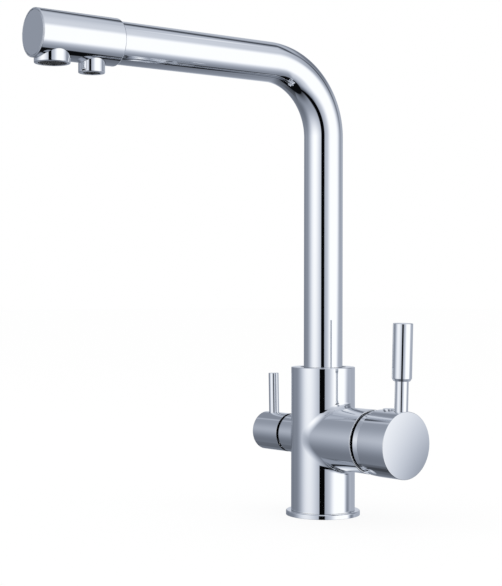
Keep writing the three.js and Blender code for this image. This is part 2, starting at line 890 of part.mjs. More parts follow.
function leverRod() {
  const foot = handleRadius - leverSocketDepth + seatGap;
  const top = leverGripEnd - leverGripRoof - seatGap;
  return cylinder(leverRodRadius, foot, top, smallSides);
}

// A sleeve with a tapered mouth that is closed at its top.
function leverGrip() {
  const bore = leverRodRadius + slipGap;
  const roof = leverGripEnd - leverGripRoof;
  return turned([
    [bore, leverGripStart],
    [bore + leverGripMouth, leverGripStart],
    [leverGripRadius, leverGripStart + leverGripTaper],
    [leverGripRadius, leverGripEnd - leverGripChamfer],
    [leverGripRadius - leverGripChamfer, leverGripEnd],
    [0, leverGripEnd],
    [0, roof],
    [bore, roof],
  ], mediumSides);
}

// ---------------------------------------------------------------- filter valve

function filterSeal() {
  const low = filterSeat + seatGap;
  const outer = headworkRadius - slipGap;
  return ring(outer - filterSealWidth, outer, low, low + filterSealThickness, smallSides);
}

function filterHeadwork() {
  const discBore = filterDiscRadius + slipGap;
  const discBoreEnd = filterMovingDiscTop + slipGap + spindleFootThickness + runGap;
  const spindleBore = spindleRadius + runGap;
  const neckEnd = headworkHexEnd + headworkNeckLength;
  const body = turned([
    [discBore, headworkFoot],
    [headworkRadius, headworkFoot],
    [headworkRadius, filterBranchEnd + headworkHexLength / 2],
    [headworkNeckRadius, filterBranchEnd + headworkHexLength / 2],
    [headworkNeckRadius, neckEnd],
    [spindleBore, neckEnd],
    [spindleBore, discBoreEnd],
    [discBore, discBoreEnd],
  ], innerSides);
  const corner = headworkHexWidth / 2 / Math.cos(Math.PI / 6);
  const inside = polygon(headworkNeckRadius - overcut, innerSides);
  const hexagon = plate(polygon(corner, 6), [inside], filterBranchEnd + seatGap, headworkHexEnd);
  return join(body, hexagon);
}

// Two opposite sectors are open; the upper disc turns across the lower one.
function filterDisc(low, phase) {
  const opening = THREE.MathUtils.degToRad(filterDiscOpening);
  const outer = filterDiscRadius - filterDiscHub;
  const holes = [0, Math.PI].map((turn) => sector(filterDiscHub, outer, phase + turn, opening, 6));
  const outline = polygon(filterDiscRadius, innerSides);
  return plate(outline, holes, low, low + filterDiscThickness);
}

function filterSpindle() {
  const low = filterMovingDiscTop + slipGap;
  const footTop = low + spindleFootThickness;
  const splineStart = spindleEnd - splineLength;
  const shaft = turned([
    [0, low],
    [filterDiscRadius, low],
    [filterDiscRadius, footTop],
    [spindleRadius, footTop],
    [spindleRadius, splineStart],
    [0, splineStart],
  ], smallSides);
  const teeth = Array.from({ length: 2 * splineTeeth }, (_, i) => {
    const radius = spindleRadius - (i % 2) * splineDepth;
    const angle = Math.PI * i / splineTeeth;
    return new THREE.Vector2(radius * Math.cos(angle), radius * Math.sin(angle));
  });
  return join(shaft, plate(teeth, [], splineStart - splineDepth, spindleEnd));
}

function filterHandle() {
  const cavityRadius = filterHandleRadius - filterHandleWall;
  const shell = turned([
    [0, filterHandleCavityEnd],
    [cavityRadius, filterHandleCavityEnd],
    [cavityRadius, filterHandleStart],
    [filterHandleRadius, filterHandleStart],
    [filterHandleRadius, filterHandleEnd - filterHandleRound],
    [filterHandleRadius - filterHandleRound, filterHandleEnd],
    [0, filterHandleEnd],
  ], mediumSides);
  const spindleSocket = cylinder(
    spindleRadius + slipGap, filterHandleCavityEnd - overcut, spindleEnd + slipGap, smallSides,
  );
  const leverHole = cylinder(
    filterLeverRadius + slipGap,
    filterHandleRadius - filterLeverSocketDepth,
    filterHandleRadius + overcut,
    smallSides,
  );
  const screwHole = bar(
    [0, 0, filterScrewPlace],
    [0, -filterHandleRadius - overcut, filterScrewPlace],
    filterScrewRadius + slipGap,
  );
  return cut(
    shell,
    spindleSocket,
    leverHole.applyMatrix4(leverFrame(filterLeverPlace, filterLeverLean)),
    screwHole,
  );
}

function filterLeverRod() {
  const foot = filterHandleRadius - filterLeverSocketDepth + seatGap;
  return cylinder(filterLeverRadius, foot, filterLeverTop, smallSides, 0, filterLeverChamfer);
}

function filterHandleScrew() {
  const tip = spindleRadius + seatGap;
  const end = tip + filterScrewLength;
  const screw = cylinder(filterScrewRadius, tip, end, holeSides);
  const key = plate(polygon(filterScrewRadius / 2, 6), [], end - filterScrewRadius, end + overcut);
  return cut(screw, key).rotateX(Math.PI / 2).translate(0, 0, filterScrewPlace);
}

// ---------------------------------------------------------------- spout

// A turned foot with two seal grooves and the groove that the lock screw runs in.
function spoutSeat() {
  const top = seatFoot + seatHeight;
  const sealFloor = tubeRadius - 2 * sealSectionRadius + seatGap;
  const grooves = [
    [seatLowerGroove, sealGrooveWidth, sealFloor],
    [seatLockGroove, lockGrooveWidth, tubeRadius - lockGrooveDepth],
    [seatUpperGroove, sealGrooveWidth, sealFloor],
  ].flatMap(([height, width, floor]) => {
    const [low, high] = [seatFoot + height - width / 2, seatFoot + height + width / 2];
    return [[tubeRadius, low], [floor, low], [floor, high], [tubeRadius, high]];
  });
  const spigot = tubeBore - slipGap;
  return turned([
    [seatBoreRadius, seatFoot],
    [tubeRadius, seatFoot],
    ...grooves,
    [tubeRadius, top],
    [spigot, top],
    [spigot, top + seatSpigotLength],
    [seatBoreRadius, top + seatSpigotLength],
  ], innerSides);
}

function spoutSeal(height) {
  const radius = socketRadius - seatGap - sealSectionRadius;
  return roundRing(radius, sealSectionRadius, seatFoot + height, innerSides);
}

function spoutTube() {
  const foot = seatFoot + seatHeight + seatGap;
  return spoutPipe(tubeRadius, tubeBore, foot, headStart + headSocketDepth - seatGap, mediumSides);
}

function filterTube() {
  const foot = socketFloor - innerTubeSocketDepth + seatGap;
  const reach = nozzlePlace - elbowReach + elbowSocketDepth - seatGap;
  return spoutPipe(innerTubeRadius, innerTubeRadius - innerTubeWall, foot, reach, holeSides);
}

// ---------------------------------------------------------------- outlet head

// Turns a piece made round z, with its heights as reaches, to lie along the arm.
function alongArm(geometry) {
  return geometry.rotateX(Math.PI / 2).translate(0, 0, armHeight);
}

function outletHead() {
  const capSeat = headFront - headCapThickness - seatGap;
  const shell = turned([
    [tubeRadius + slipGap, headStart],
    [headRadius - headEdgeChamfer, headStart],
    [headRadius, headStart + headEdgeChamfer],
    [headRadius, headFront - headEdgeChamfer],
    [headRadius - headEdgeChamfer, headFront],
    [headCapRadius + slipGap, headFront],
    [headCapRadius + slipGap, capSeat],
    [headBoreRadius, capSeat],
    [headBoreRadius, headStart + headSocketDepth],
    [tubeRadius + slipGap, headStart + headSocketDepth],
  ], largeSides);
  const outlets = [[aeratorPlace, aeratorRadius], [nozzlePlace, nozzleRadius]].map(([place, radius]) => {
    const hole = cylinder(radius + slipGap, -headRadius - overcut, -outletRecess, mediumSides);
    return hole.translate(0, -place, armHeight);
  });
  return cut(alongArm(shell), ...outlets);
}

function headCap() {
  return alongArm(cylinder(headCapRadius, headFront - headCapThickness, headFront, mediumSides));
}

// A threaded cup with a lip at its mouth, made round z from the mouth up.
function outletCup(radius, bore, mouthRadius, lip, chamfer, height) {
  return turned([
    [mouthRadius, 0],
    [radius - chamfer, 0],
    [radius, chamfer],
    [radius, height],
    [bore, height],
    [bore, lip],
    [mouthRadius, lip],
  ], mediumSides);
}

const aeratorMouth = armHeight - aeratorDrop;
const aeratorHeight = aeratorDrop - outletRecess - seatGap;
const aeratorBore = aeratorRadius - aeratorWall;
const aeratorInsertRadius = aeratorBore - slipGap;
const nozzleMouth = armHeight - nozzleDrop;
const nozzleHeight = nozzleDrop - outletRecess - seatGap;
const nozzleBore = nozzleRadius - nozzleWall;
const nozzleInsertRadius = nozzleBore - slipGap;

function aeratorHousing() {
  return outletCup(
    aeratorRadius, aeratorBore, aeratorBore - aeratorLip, aeratorLip, aeratorChamfer, aeratorHeight,
  );
}

// A honeycomb of through holes that straightens and aerates the stream.
function aeratorInsert() {
  const reach = aeratorInsertRadius - gridRim;
  const holeRadius = (gridPitch - gridWeb) / 2 / Math.cos(Math.PI / 6);
  const rows = Math.ceil(reach / gridPitch) + 1;
  const holes = [];
  for (let row = -rows; row <= rows; row += 1) {
    for (let column = -rows; column <= rows; column += 1) {
      const x = gridPitch * (column + row / 2);
      const y = gridPitch * row * Math.sin(Math.PI / 3);
      if (Math.hypot(x, y) + holeRadius < reach) {
        holes.push(polygon(holeRadius, 6, [x, y], Math.PI / 6));
      }
    }
  }
  const low = aeratorLip + seatGap;
  return plate(polygon(aeratorInsertRadius, mediumSides), holes, low, low + aeratorInsertHeight);
}

function aeratorWasher() {
  const low = aeratorLip + seatGap + aeratorInsertHeight + seatGap;
  return ring(
    aeratorInsertRadius - aeratorWasherWidth,
    aeratorInsertRadius,
    low,
    low + aeratorWasherThickness,
    innerSides,
  );
}

function filterNozzle() {
  return outletCup(
    nozzleRadius, nozzleBore, nozzleBore - nozzleLip, nozzleLip, nozzleChamfer, nozzleHeight,
  );
}

// A star of vanes that keeps the filtered stream straight.
function filterNozzleInsert() {
  const opening = THREE.MathUtils.degToRad(nozzleVaneGap);
  const holes = Array.from({ length: nozzleVanes }, (_, i) => sector(
    nozzleInsertHub, nozzleInsertRadius - nozzleInsertRim, 2 * Math.PI * i / nozzleVanes, opening, 3,
  ));
  const low = nozzleLip + seatGap;
  return plate(polygon(nozzleInsertRadius, smallSides), holes, low, low + nozzleInsertHeight);
}

function nozzleWasher() {
  const low = nozzleLip + seatGap + nozzleInsertHeight + seatGap;
  return ring(innerTubeRadius, nozzleInsertRadius, low, low + nozzleWasherThickness, smallSides);
}

// Carries filtered water from the inner tube down to its own outlet.
function filterElbow() {
  const waterRadius = innerTubeRadius - innerTubeWall;
  const foot = nozzleMouth + nozzleLip + nozzleInsertHeight + nozzleWasherThickness + 3 * seatGap;
  const along = (from, to, radius) => bar(
    [0, -nozzlePlace - from, armHeight], [0, -nozzlePlace - to, armHeight], radius, smallSides,
  );
  const down = (from, to, radius) => bar(
    [0, -nozzlePlace, from], [0, -nozzlePlace, to], radius, smallSides,
  );
  return cut(
    join(along(-elbowReach, elbowReach, elbowRadius), down(foot, armHeight, elbowRadius)),
    along(-elbowReach - overcut, 0, waterRadius),
    along(-elbowReach - overcut, elbowSocketDepth - elbowReach, innerTubeRadius + slipGap),
    down(foot - overcut, armHeight, waterRadius),
  );
}

// ---------------------------------------------------------------- assembly

addPiece(tap, 'base_flange', 'chrome', baseFlange());
addPiece(tap, 'base_gasket', 'rubber', baseGasket());
addPiece(tap, 'hose_manifold', 'brass', hoseManifold());
addPiece(tap, 'manifold_gasket', 'rubber', manifoldGasket());
addPiece(tap, 'body_casting', 'chrome', bodyCasting());
addPiece(tap, 'spout_bearing_ring', 'blackPlastic', spoutBearingRing());
addPiece(tap, 'spout_lock_screw', 'steel', spoutLockScrew());

addPiece(mixerGroup, 'cartridge_seal', 'rubber', cartridgeSeal());
addPiece(mixerGroup, 'cartridge_housing', 'whitePlastic', cartridgeHousing());
addPiece(mixerGroup, 'cartridge_fixed_disc', 'ceramic', cartridgeFixedDisc());
addPiece(mixerGroup, 'cartridge_moving_disc', 'ceramic', cartridgeMovingDisc());
addPiece(mixerGroup, 'disc_carrier', 'blackPlastic', discCarrier());
addPiece(mixerGroup, 'cartridge_turret', 'whitePlastic', cartridgeTurret());
addPiece(mixerGroup, 'stem_pin', 'steel', stemPin());
addPiece(mixerGroup, 'cartridge_stem', 'steel', cartridgeStem());
addPiece(mixerGroup, 'cartridge_nut', 'brass', cartridgeNut());
addPiece(mixerGroup, 'bonnet_ring', 'chrome', bonnetRing());
addPiece(mixerGroup, 'mixer_handle', 'chrome', mixerHandle());
addPiece(mixerGroup, 'handle_screw', 'steel', handleScrew());
addPiece(mixerGroup, 'handle_plug', 'chrome', handlePlug());

const leverGroup = new THREE.Group();
leverGroup.applyMatrix4(leverFrame(leverPlace, leverLean));
mixerGroup.add(leverGroup);
addPiece(leverGroup, 'lever_rod', 'chrome', leverRod());
addPiece(leverGroup, 'lever_grip', 'chrome', leverGrip());

addPiece(filterGroup, 'filter_seal', 'rubber', filterSeal());
addPiece(filterGroup, 'filter_headwork', 'brass', filterHeadwork());
addPiece(filterGroup, 'filter_fixed_disc', 'ceramic', filterDisc(headworkFoot, Math.PI / 2));
addPiece(filterGroup, 'filter_moving_disc', 'ceramic', filterDisc(filterDiscTop + slipGap, 0));
addPiece(filterGroup, 'filter_spindle', 'brass', filterSpindle());
addPiece(filterGroup, 'filter_handle', 'chrome', filterHandle());
addPiece(filterGroup, 'filter_handle_screw', 'steel', filterHandleScrew());

const filterLeverGroup = new THREE.Group();
filterLeverGroup.applyMatrix4(leverFrame(filterLeverPlace, filterLeverLean));
filterGroup.add(filterLeverGroup);
addPiece(filterLeverGroup, 'filter_lever_rod', 'chrome', filterLeverRod());

addPiece(spoutGroup, 'spout_seat', 'brass', spoutSeat());
addPiece(spoutGroup, 'spout_seal_lower', 'rubber', spoutSeal(seatLowerGroove));
addPiece(spoutGroup, 'spout_seal_upper', 'rubber', spoutSeal(seatUpperGroove));
addPiece(spoutGroup, 'spout_tube', 'chrome', spoutTube());
addPiece(spoutGroup, 'filter_tube', 'whitePlastic', filterTube());
addPiece(spoutGroup, 'outlet_head', 'chrome', outletHead());
addPiece(spoutGroup, 'head_cap', 'chrome', headCap());
addPiece(spoutGroup, 'filter_elbow', 'brass', filterElbow());

const aeratorGroup = new THREE.Group();
aeratorGroup.position.set(0, -aeratorPlace, aeratorMouth);
spoutGroup.add(aeratorGroup);
addPiece(aeratorGroup, 'aerator_housing', 'chrome', aeratorHousing());
addPiece(aeratorGroup, 'aerator_insert', 'blackPlastic', aeratorInsert());
addPiece(aeratorGroup, 'aerator_washer', 'rubber', aeratorWasher());

const nozzleGroup = new THREE.Group();
nozzleGroup.position.set(0, -nozzlePlace, nozzleMouth);
spoutGroup.add(nozzleGroup);
addPiece(nozzleGroup, 'filter_nozzle', 'chrome', filterNozzle());
addPiece(nozzleGroup, 'filter_nozzle_insert', 'blackPlastic', filterNozzleInsert());
addPiece(nozzleGroup, 'nozzle_washer', 'rubber', nozzleWasher());

export default tap;
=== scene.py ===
import math

import bmesh
import bpy
import numpy as np
from mathutils import Matrix, Vector
from mathutils.bvhtree import BVHTree
from mathutils.interpolate import poly_3d_calc

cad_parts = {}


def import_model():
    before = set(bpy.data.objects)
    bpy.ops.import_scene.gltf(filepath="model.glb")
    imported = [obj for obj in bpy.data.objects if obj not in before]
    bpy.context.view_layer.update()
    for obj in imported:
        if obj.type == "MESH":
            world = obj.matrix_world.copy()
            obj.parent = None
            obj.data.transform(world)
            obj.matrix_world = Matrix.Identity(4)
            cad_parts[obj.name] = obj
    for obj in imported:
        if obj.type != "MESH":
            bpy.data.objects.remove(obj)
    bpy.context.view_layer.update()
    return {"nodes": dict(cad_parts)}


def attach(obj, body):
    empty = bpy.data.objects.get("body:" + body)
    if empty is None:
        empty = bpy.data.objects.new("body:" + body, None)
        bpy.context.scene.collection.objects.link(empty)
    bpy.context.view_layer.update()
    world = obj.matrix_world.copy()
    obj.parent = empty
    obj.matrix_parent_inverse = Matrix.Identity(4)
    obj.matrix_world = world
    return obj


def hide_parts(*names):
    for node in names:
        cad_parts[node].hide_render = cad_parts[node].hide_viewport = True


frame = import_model()
nodes = frame["nodes"]

# ------------------------ sizes in millimetres

METRE = 0.001
WELD = 1e-4
PULL = 0.02  # share of the way to a face's centre at which its surface is looked up

COLUMN_RADIUS = 23.0
COLUMN_TOP = 106.5
COLUMN_FOOT = 3.5
COLUMN_EDGE = 0.6
BRANCH_HEIGHT = 56.2
MIXER_BRANCH = {
    "side": 1, "radius": 22.5, "end": 50.0, "fillet": 3.25, "side_fillet": 84.0, "edge": 0.5,
    "bore": 17.8, "bore_floor": 20,
}
FILTER_BRANCH = {
    "side": -1, "radius": 14.1, "end": 33.0, "fillet": 1.3, "side_fillet": 2.6, "edge": 0.5,
    "bore": 10.3, "bore_floor": 17,
}
HANDLE_RADIUS = 23.15
HANDLE_START = 57.7
HANDLE_END = 82.5
HANDLE_FRONT = 70.2
HANDLE_SAG = 0.35
HANDLE_EDGE = 0.4
HANDLE_BORE = 20.4
BOSS_HALF = 8.5  # half the width of the boss inside the handle that takes the stem
BOSS_START = 61.5
PLUG_PLACE = 65.6
LEVER_PLACE = 76.5
LEVER_LEAN = 1.6
FILTER_HANDLE_RADIUS = 14.1
FILTER_HANDLE_END = 62.3
FILTER_HANDLE_SAG = 0.25
FILTER_HANDLE_EDGE = 0.6
FILTER_SCREW_PLACE = 49.3
FILTER_LEVER_PLACE = 53.1
FILTER_LEVER_LEAN = 1.5
LOCK_HEIGHT = 86.3
SPOUT_SWIVEL = -4.64
ARM_HEIGHT = 321.9
BEND_RADIUS = 50.0
TUBE_RADIUS = 14.0
TUBE_BORE = 12.8
TUBE_FOOT = 98.4
TUBE_END = 179.9
HEAD_RADIUS = 15.55
HEAD_START = 173.4
HEAD_END = 232.27
AERATOR_PLACE = 218.8
AERATOR_MOUTH = 303.9
NOZZLE_PLACE = 190.6
NOZZLE_MOUTH = 300.35
OUTLET_TOP = 8.3
OUTLET_LIP = 0.7
INSERT_DEPTH = 0.8
# Where shade is painted near-black into the colour, down in the gaps beside both handles.
MIXER_GAP_SHADE = (49.7, 51.55, 20.9)  # low and high end along the branches, and radius
FILTER_GAP_SHADE = (-47.0, -32.45, 14.06)

ROUND_SIDES = 192
MEDIUM_SIDES = 128
SMALL_SIDES = 96
BORE_SIDES = 64
HOLE_SIDES = 48
WALL_STEPS = 34
ARC_STEPS = 6
FILLET_STEPS = 10
DOME_STEPS = 10
BEND_STEPS = 40


# ------------------------ surfaces

def unit(vector):
    vector = np.asarray(vector, float)
    return vector / np.maximum(np.linalg.norm(vector, axis=-1, keepdims=True), 1e-12)


def axis_frame(origin, along, up):
    """A turning axis: its third direction runs along it and its second points up."""
    along = unit(along)
    across = unit(np.cross(up, along))
    return np.array([across, np.cross(along, across), along, origin], float)


def lever_frame(branch, distance, lean):
    """The axis of a lever that stands on a branch and leans outward."""
    angle = math.radians(lean)
    along = branch[1] * math.cos(angle) + branch[2] * math.sin(angle)
    return axis_frame(branch[3] + branch[2] * distance, along, -branch[2])


def beside(way):
    """The normal on the right of a direction in an outline's plane."""
    return np.array([way[1], -way[0]])


def section(points, rounds, closed=True):
    """Runs of (radius, height, normal) along an outline with rounded corners."""
    points = [np.array(point, float) for point in points]
    count = len(points)
    corners = []
    for index, point in enumerate(points):
        if not closed and index in (0, count - 1):
            corners.append(None)
            continue
        before = points[index - 1]
        after = points[(index + 1) % count]
        enter = unit(point - before)
        leave = unit(after - point)
        first = beside(enter)
        size = rounds[index]
        if size == 0:
            corners.append([[(point, first)], [(point, beside(leave))]])
            continue
        bend = math.atan2(enter[0] * leave[1] - enter[1] * leave[0], enter @ leave)
        start = point - enter * size * math.tan(abs(bend) / 2)
        sign = math.copysign(1, bend)
        centre = start - first * size * sign
        arc = []
        for step in range(ARC_STEPS + 1):
            angle = bend * step / ARC_STEPS
            normal = first * math.cos(angle) - beside(first) * math.sin(angle)
            arc.append((centre + normal * size * sign, normal))
        corners.append([arc])
    if closed:
        order = corners[1:] + corners[:1]
        current = [corners[0][-1][-1]]
    else:
        order = corners[1:-1]
        current = [(points[0], beside(unit(points[1] - points[0])))]
    runs = []
    for corner in order:
        current.extend(corner[0])
        if len(corner) == 2:
            runs.append(current)
            current = list(corner[1])
    if not closed:
        current.append((points[-1], beside(unit(points[-1] - points[-2]))))
    runs.append(current)
    return [np.array([[*point, *normal] for point, normal in run]) for run in runs if len(run) > 1]


def domed(runs, radius, height, sag):
    """Swells the flat end face that closes the outline, highest on the axis."""
    face = runs[-1]
    kept = face[face[:, 0] >= radius - 1e-6]
    rows = []
    for step in range(DOME_STEPS + 1):
        reach = radius * (1 - step / DOME_STEPS)
        slope = 2 * sag * reach / radius ** 2
        length = math.hypot(slope, 1)
        rows.append([reach, height - sag * (reach / radius) ** 2, slope / length, 1 / length])
    return runs[:-1] + [np.vstack([kept, rows])]


class Skin:
    """Grids of points with their exact normals, until they become one closed mesh."""

    def __init__(self):
        self.corners = []
        self.normals = []

    def grid(self, points, normals):
        for store, values in ((self.corners, points), (self.normals, normals)):
            quads = np.stack(
                [values[:-1, :-1], values[1:, :-1], values[1:, 1:], values[:-1, 1:]], axis=2,
            )
            store.append(quads.reshape(-1, 4, 3))
        return self

    def face(self, points, normal):
        points = np.array(points, float).reshape(2, 2, 3)
        return self.grid(points, np.broadcast_to(unit(normal), points.shape).copy())

    def lathe(self, runs, place, sides=MEDIUM_SIDES, angles=None):
        """Turns the runs round an axis."""
        if angles is None:
            angles = np.linspace(0, 2 * math.pi, sides + 1)
        ring = np.cos(angles)[None, :, None] * place[0] + np.sin(angles)[None, :, None] * place[1]
        for run in runs:
            points = place[3] + run[:, 0, None, None] * ring + run[:, 1, None, None] * place[2]
            normals = run[:, 2, None, None] * ring + run[:, 3, None, None] * place[2]
            self.grid(points, normals)
        return self

    def block(self, corners):
        """A solid with six flat faces, from its lower four and upper four corners."""
        low, high = np.array(corners[:4], float), np.array(corners[4:], float)
        middle = (low.mean(0) + high.mean(0)) / 2
        sides = [[low[i], low[(i + 1) % 4], high[i], high[(i + 1) % 4]] for i in range(4)]
        ends = [[row[0], row[1], row[3], row[2]] for row in (low, high)]
        for side in sides + ends:
            side = np.array(side)
            normal = np.cross(side[1] - side[0], side[2] - side[0])
            if normal @ (side.mean(0) - middle) < 0:
                normal = -normal
            self.face(side, normal)
        return self

    def polygons(self):
        """Welded vertices, faces that look outward, and a normal for each corner."""
        corners = np.concatenate(self.corners)
        normals = np.concatenate(self.normals)
        across = np.cross(corners[:, 2] - corners[:, 0], corners[:, 3] - corners[:, 1])
        inward = np.einsum("ij,ij->i", across, normals.sum(axis=1)) < 0
        corners[inward] = corners[inward][:, ::-1]
        normals[inward] = normals[inward][:, ::-1]
        flat = corners.reshape(-1, 3)
        keys = np.round(flat / WELD).astype(np.int64)
        _, first, back = np.unique(keys, axis=0, return_index=True, return_inverse=True)
        back = back.reshape(-1, 4)
        faces = []
        corner_normals = []
        for indices, directions in zip(back.tolist(), normals.tolist()):
            kept = [i for i in range(4) if indices[i] != indices[i - 1]]
            if len(kept) < 3 or len({indices[i] for i in kept}) != len(kept):
                continue
            faces.append([indices[i] for i in kept])
            corner_normals.append([directions[i] for i in kept])
        return flat[first].tolist(), faces, corner_normals


def scene_object(name, data):
    result = bpy.data.objects.new(name, data)
    bpy.context.scene.collection.objects.link(result)
    return result


def mesh_object(name, vertices, faces, corner_normals, scale=METRE):
    mesh = bpy.data.meshes.new(name)
    mesh.from_pydata([[value * scale for value in vertex] for vertex in vertices], [], faces)
    mesh.shade_smooth()
    mesh.normals_split_custom_set([normal for face in corner_normals for normal in face])
    return scene_object(name, mesh)


class Lookup:
    """Finds the exact normal at any place on a skin."""

    def __init__(self, shape, sign):
        self.vertices, self.faces, self.normals = shape
        self.tree = BVHTree.FromPolygons(self.vertices, self.faces)
        self.sign = sign

    def distance(self, place):
        return self.tree.find_nearest(place)[3]

    def normal(self, place):
        spot, _, index, _ = self.tree.find_nearest(place)
        weights = poly_3d_calc([Vector(self.vertices[i]) for i in self.faces[index]], spot)
        total = Vector((0, 0, 0))
        for weight, normal in zip(weights, self.normals[index]):
            total += Vector(normal) * weight
        return self.sign * total.normalized()


def carved(name, skin, cuts, joins=()):
    """Joins and cuts a skin with others, and keeps every surface's exact normals."""
    shape = skin.polygons()
    base = mesh_object(name, *shape, scale=1)
    lookups = [Lookup(shape, 1)]
    helpers = []
    tools = [(tool, "UNION", 1) for tool in joins] + [(tool, "DIFFERENCE", -1) for tool in cuts]
    for tool, operation, sign in tools:
        tool_shape = tool.polygons()
        helper = mesh_object(f"{name}_tool", *tool_shape, scale=1)
        lookups.append(Lookup(tool_shape, sign))
        modifier = base.modifiers.new("shape", "BOOLEAN")
        modifier.operation = operation
        modifier.solver = "EXACT"
        modifier.object = helper
        helpers.append(helper)
    depsgraph = bpy.context.evaluated_depsgraph_get()
    result = bpy.data.meshes.new_from_object(base.evaluated_get(depsgraph))
    vertices = [vertex.co.copy() for vertex in result.vertices]
    faces = []
    normals = []
    for polygon in result.polygons:
        centre = polygon.center
        source = min(lookups, key=lambda lookup: lookup.distance(centre))
        places = [vertices[i].lerp(centre, PULL) for i in polygon.vertices]
        faces.append(list(polygon.vertices))
        normals.append([source.normal(place) for place in places])
    for spare in [base] + helpers:
        bpy.data.objects.remove(spare)
    return mesh_object(name, vertices, faces, normals)


def made(name, skin):
    return mesh_object(name, *skin.polygons())


def lathed(points, rounds, place, sides=MEDIUM_SIDES, closed=True):
    """A turned skin with rounded corners, from its outline of (radius, height)."""
    return Skin().lathe(section(points, rounds, closed), place, sides)


def rod(radius, low, high, place, sides=SMALL_SIDES, edge=0.0):
    return lathed(
        [(0, low), (radius, low), (radius, high), (0, high)], [0, edge, edge, 0], place, sides,
        closed=False,
    )


column = axis_frame([0, 0, 0], [0, 0, 1], [0, 1, 0])
mixer = axis_frame([0, 0, BRANCH_HEIGHT], [1, 0, 0], [0, 0, 1])
filtered = axis_frame([0, 0, BRANCH_HEIGHT], [-1, 0, 0], [0, 0, 1])
plug = lever_frame(mixer, PLUG_PLACE, 0)
mixer_lever = lever_frame(mixer, LEVER_PLACE, LEVER_LEAN)
filter_lever = lever_frame(filtered, FILTER_LEVER_PLACE, FILTER_LEVER_LEAN)
swivel = math.radians(SPOUT_SWIVEL)
arm = axis_frame([0, 0, ARM_HEIGHT], [math.sin(swivel), -math.cos(swivel), 0], [0, 0, 1])


def outlet_frame(distance, mouth):
    """An outlet's axis, upward from its mouth."""
    foot = arm[3] + arm[2] * distance
    return axis_frame([foot[0], foot[1], mouth], [0, 0, 1], -arm[2])


aerator = outlet_frame(AERATOR_PLACE, AERATOR_MOUTH)
nozzle = outlet_frame(NOZZLE_PLACE, NOZZLE_MOUTH)


# ------------------------ body casting

def ball_radius(branch, angles):
    """The rolled ball grows towards the branch's sides, where both walls nearly run on."""
    growth = (branch["side_fillet"] / branch["fillet"]) ** 2
    shared = (growth - 1) / (growth + 1) * np.cos(angles) ** 2
    return branch["fillet"] * np.sqrt((1 + shared) / (1 - shared))


def fillet_rows(branch, angles):
    """The hollow corner round a branch, with the lines where it leaves both walls."""
    ball = ball_radius(branch, angles)
    reach = branch["radius"] + ball
    across = reach * np.cos(angles)
    rise = reach * np.sin(angles)
    out = branch["side"] * np.sqrt((COLUMN_RADIUS + ball) ** 2 - across ** 2)
    zero = np.zeros_like(angles)
    centre = np.stack([out, across, BRANCH_HEIGHT + rise], axis=-1)
    to_column = -unit(np.stack([out, across, zero], axis=-1))
    to_branch = -unit(np.stack([zero, across, rise], axis=-1))
    corner = np.arccos(np.sum(to_column * to_branch, axis=-1))[:, None]
    share = np.linspace(0, 1, FILLET_STEPS + 1)[:, None, None]
    inward = unit(np.sin((1 - share) * corner) * to_column + np.sin(share * corner) * to_branch)
    points = centre + ball[:, None] * inward
    return points, -inward


def smooth_normals(points, near):
    """Normals from the grid's own slopes, on the side that the near ones look to."""
    along = np.empty_like(points)
    ring = points[:, :-1]
    along[:, :-1] = np.roll(ring, -1, axis=1) - np.roll(ring, 1, axis=1)
    along[:, -1] = along[:, 0]
    across = np.gradient(points, axis=0)
    normals = unit(np.cross(along, across))
    normals *= np.sign(np.sum(normals * near, axis=-1, keepdims=True))
    normals[0] = near[0]
    normals[-1] = near[-1]
    return normals


def casting_skin():
    """The outside of the casting without its ends, and the angles of the column's lines."""
    skin = Skin()
    angles = np.linspace(0, 2 * math.pi, ROUND_SIDES + 1)
    for branch in (MIXER_BRANCH, FILTER_BRANCH):
        points, near = fillet_rows(branch, angles)
        skin.grid(points, smooth_normals(points, near))
        ring = np.stack([np.zeros_like(angles), np.cos(angles), np.sin(angles)], axis=-1)
        end = points[-1].copy()
        end[:, 0] = branch["side"] * (branch["end"] - branch["edge"])
        skin.grid(np.array([points[-1], end]), np.array([ring, ring]))
    return skin, column_lines(skin)


def column_lines(skin):
    """The column's wall above and below both branches, and the angles of its lines."""
    steps = np.linspace(math.pi, 0, ROUND_SIDES // 2 + 1)
    parts = []
    for branch, middle in ((MIXER_BRANCH, 0.0), (FILTER_BRANCH, math.pi)):
        ball = ball_radius(branch, steps)
        reach = branch["radius"] + ball
        turn = np.arcsin(reach * np.cos(steps) / (COLUMN_RADIUS + ball))
        parts.append((middle + turn, reach * np.sin(steps)))
    (right, right_rise), (left, left_rise) = parts
    full_turn = right[0] + 2 * math.pi
    gap = np.linspace(right[-1], left[0], WALL_STEPS)[1:-1]
    back = np.linspace(left[-1], full_turn, WALL_STEPS)[1:-1]
    angles = np.concatenate([right, gap, left, back, [full_turn]])
    rise = np.concatenate([
        right_rise, np.zeros_like(gap), left_rise, np.zeros_like(back), right_rise[:1],
    ])
    ring = np.stack([np.cos(angles), np.sin(angles), np.zeros_like(angles)], axis=-1)
    wall = COLUMN_RADIUS * ring
    for sign, limit in ((1, COLUMN_TOP - COLUMN_EDGE), (-1, COLUMN_FOOT)):
        near = wall + np.stack([rise * 0, rise * 0, BRANCH_HEIGHT + sign * rise], axis=-1)
        far = wall + np.array([0, 0, limit])
        skin.grid(np.array([near, far]), np.array([ring, ring]))
    return angles


def end_runs(points, rounds):
    """An outline whose first wall is left to the skin that it closes."""
    runs = section(points, rounds, closed=False)
    runs[0] = runs[0][1:]
    return runs


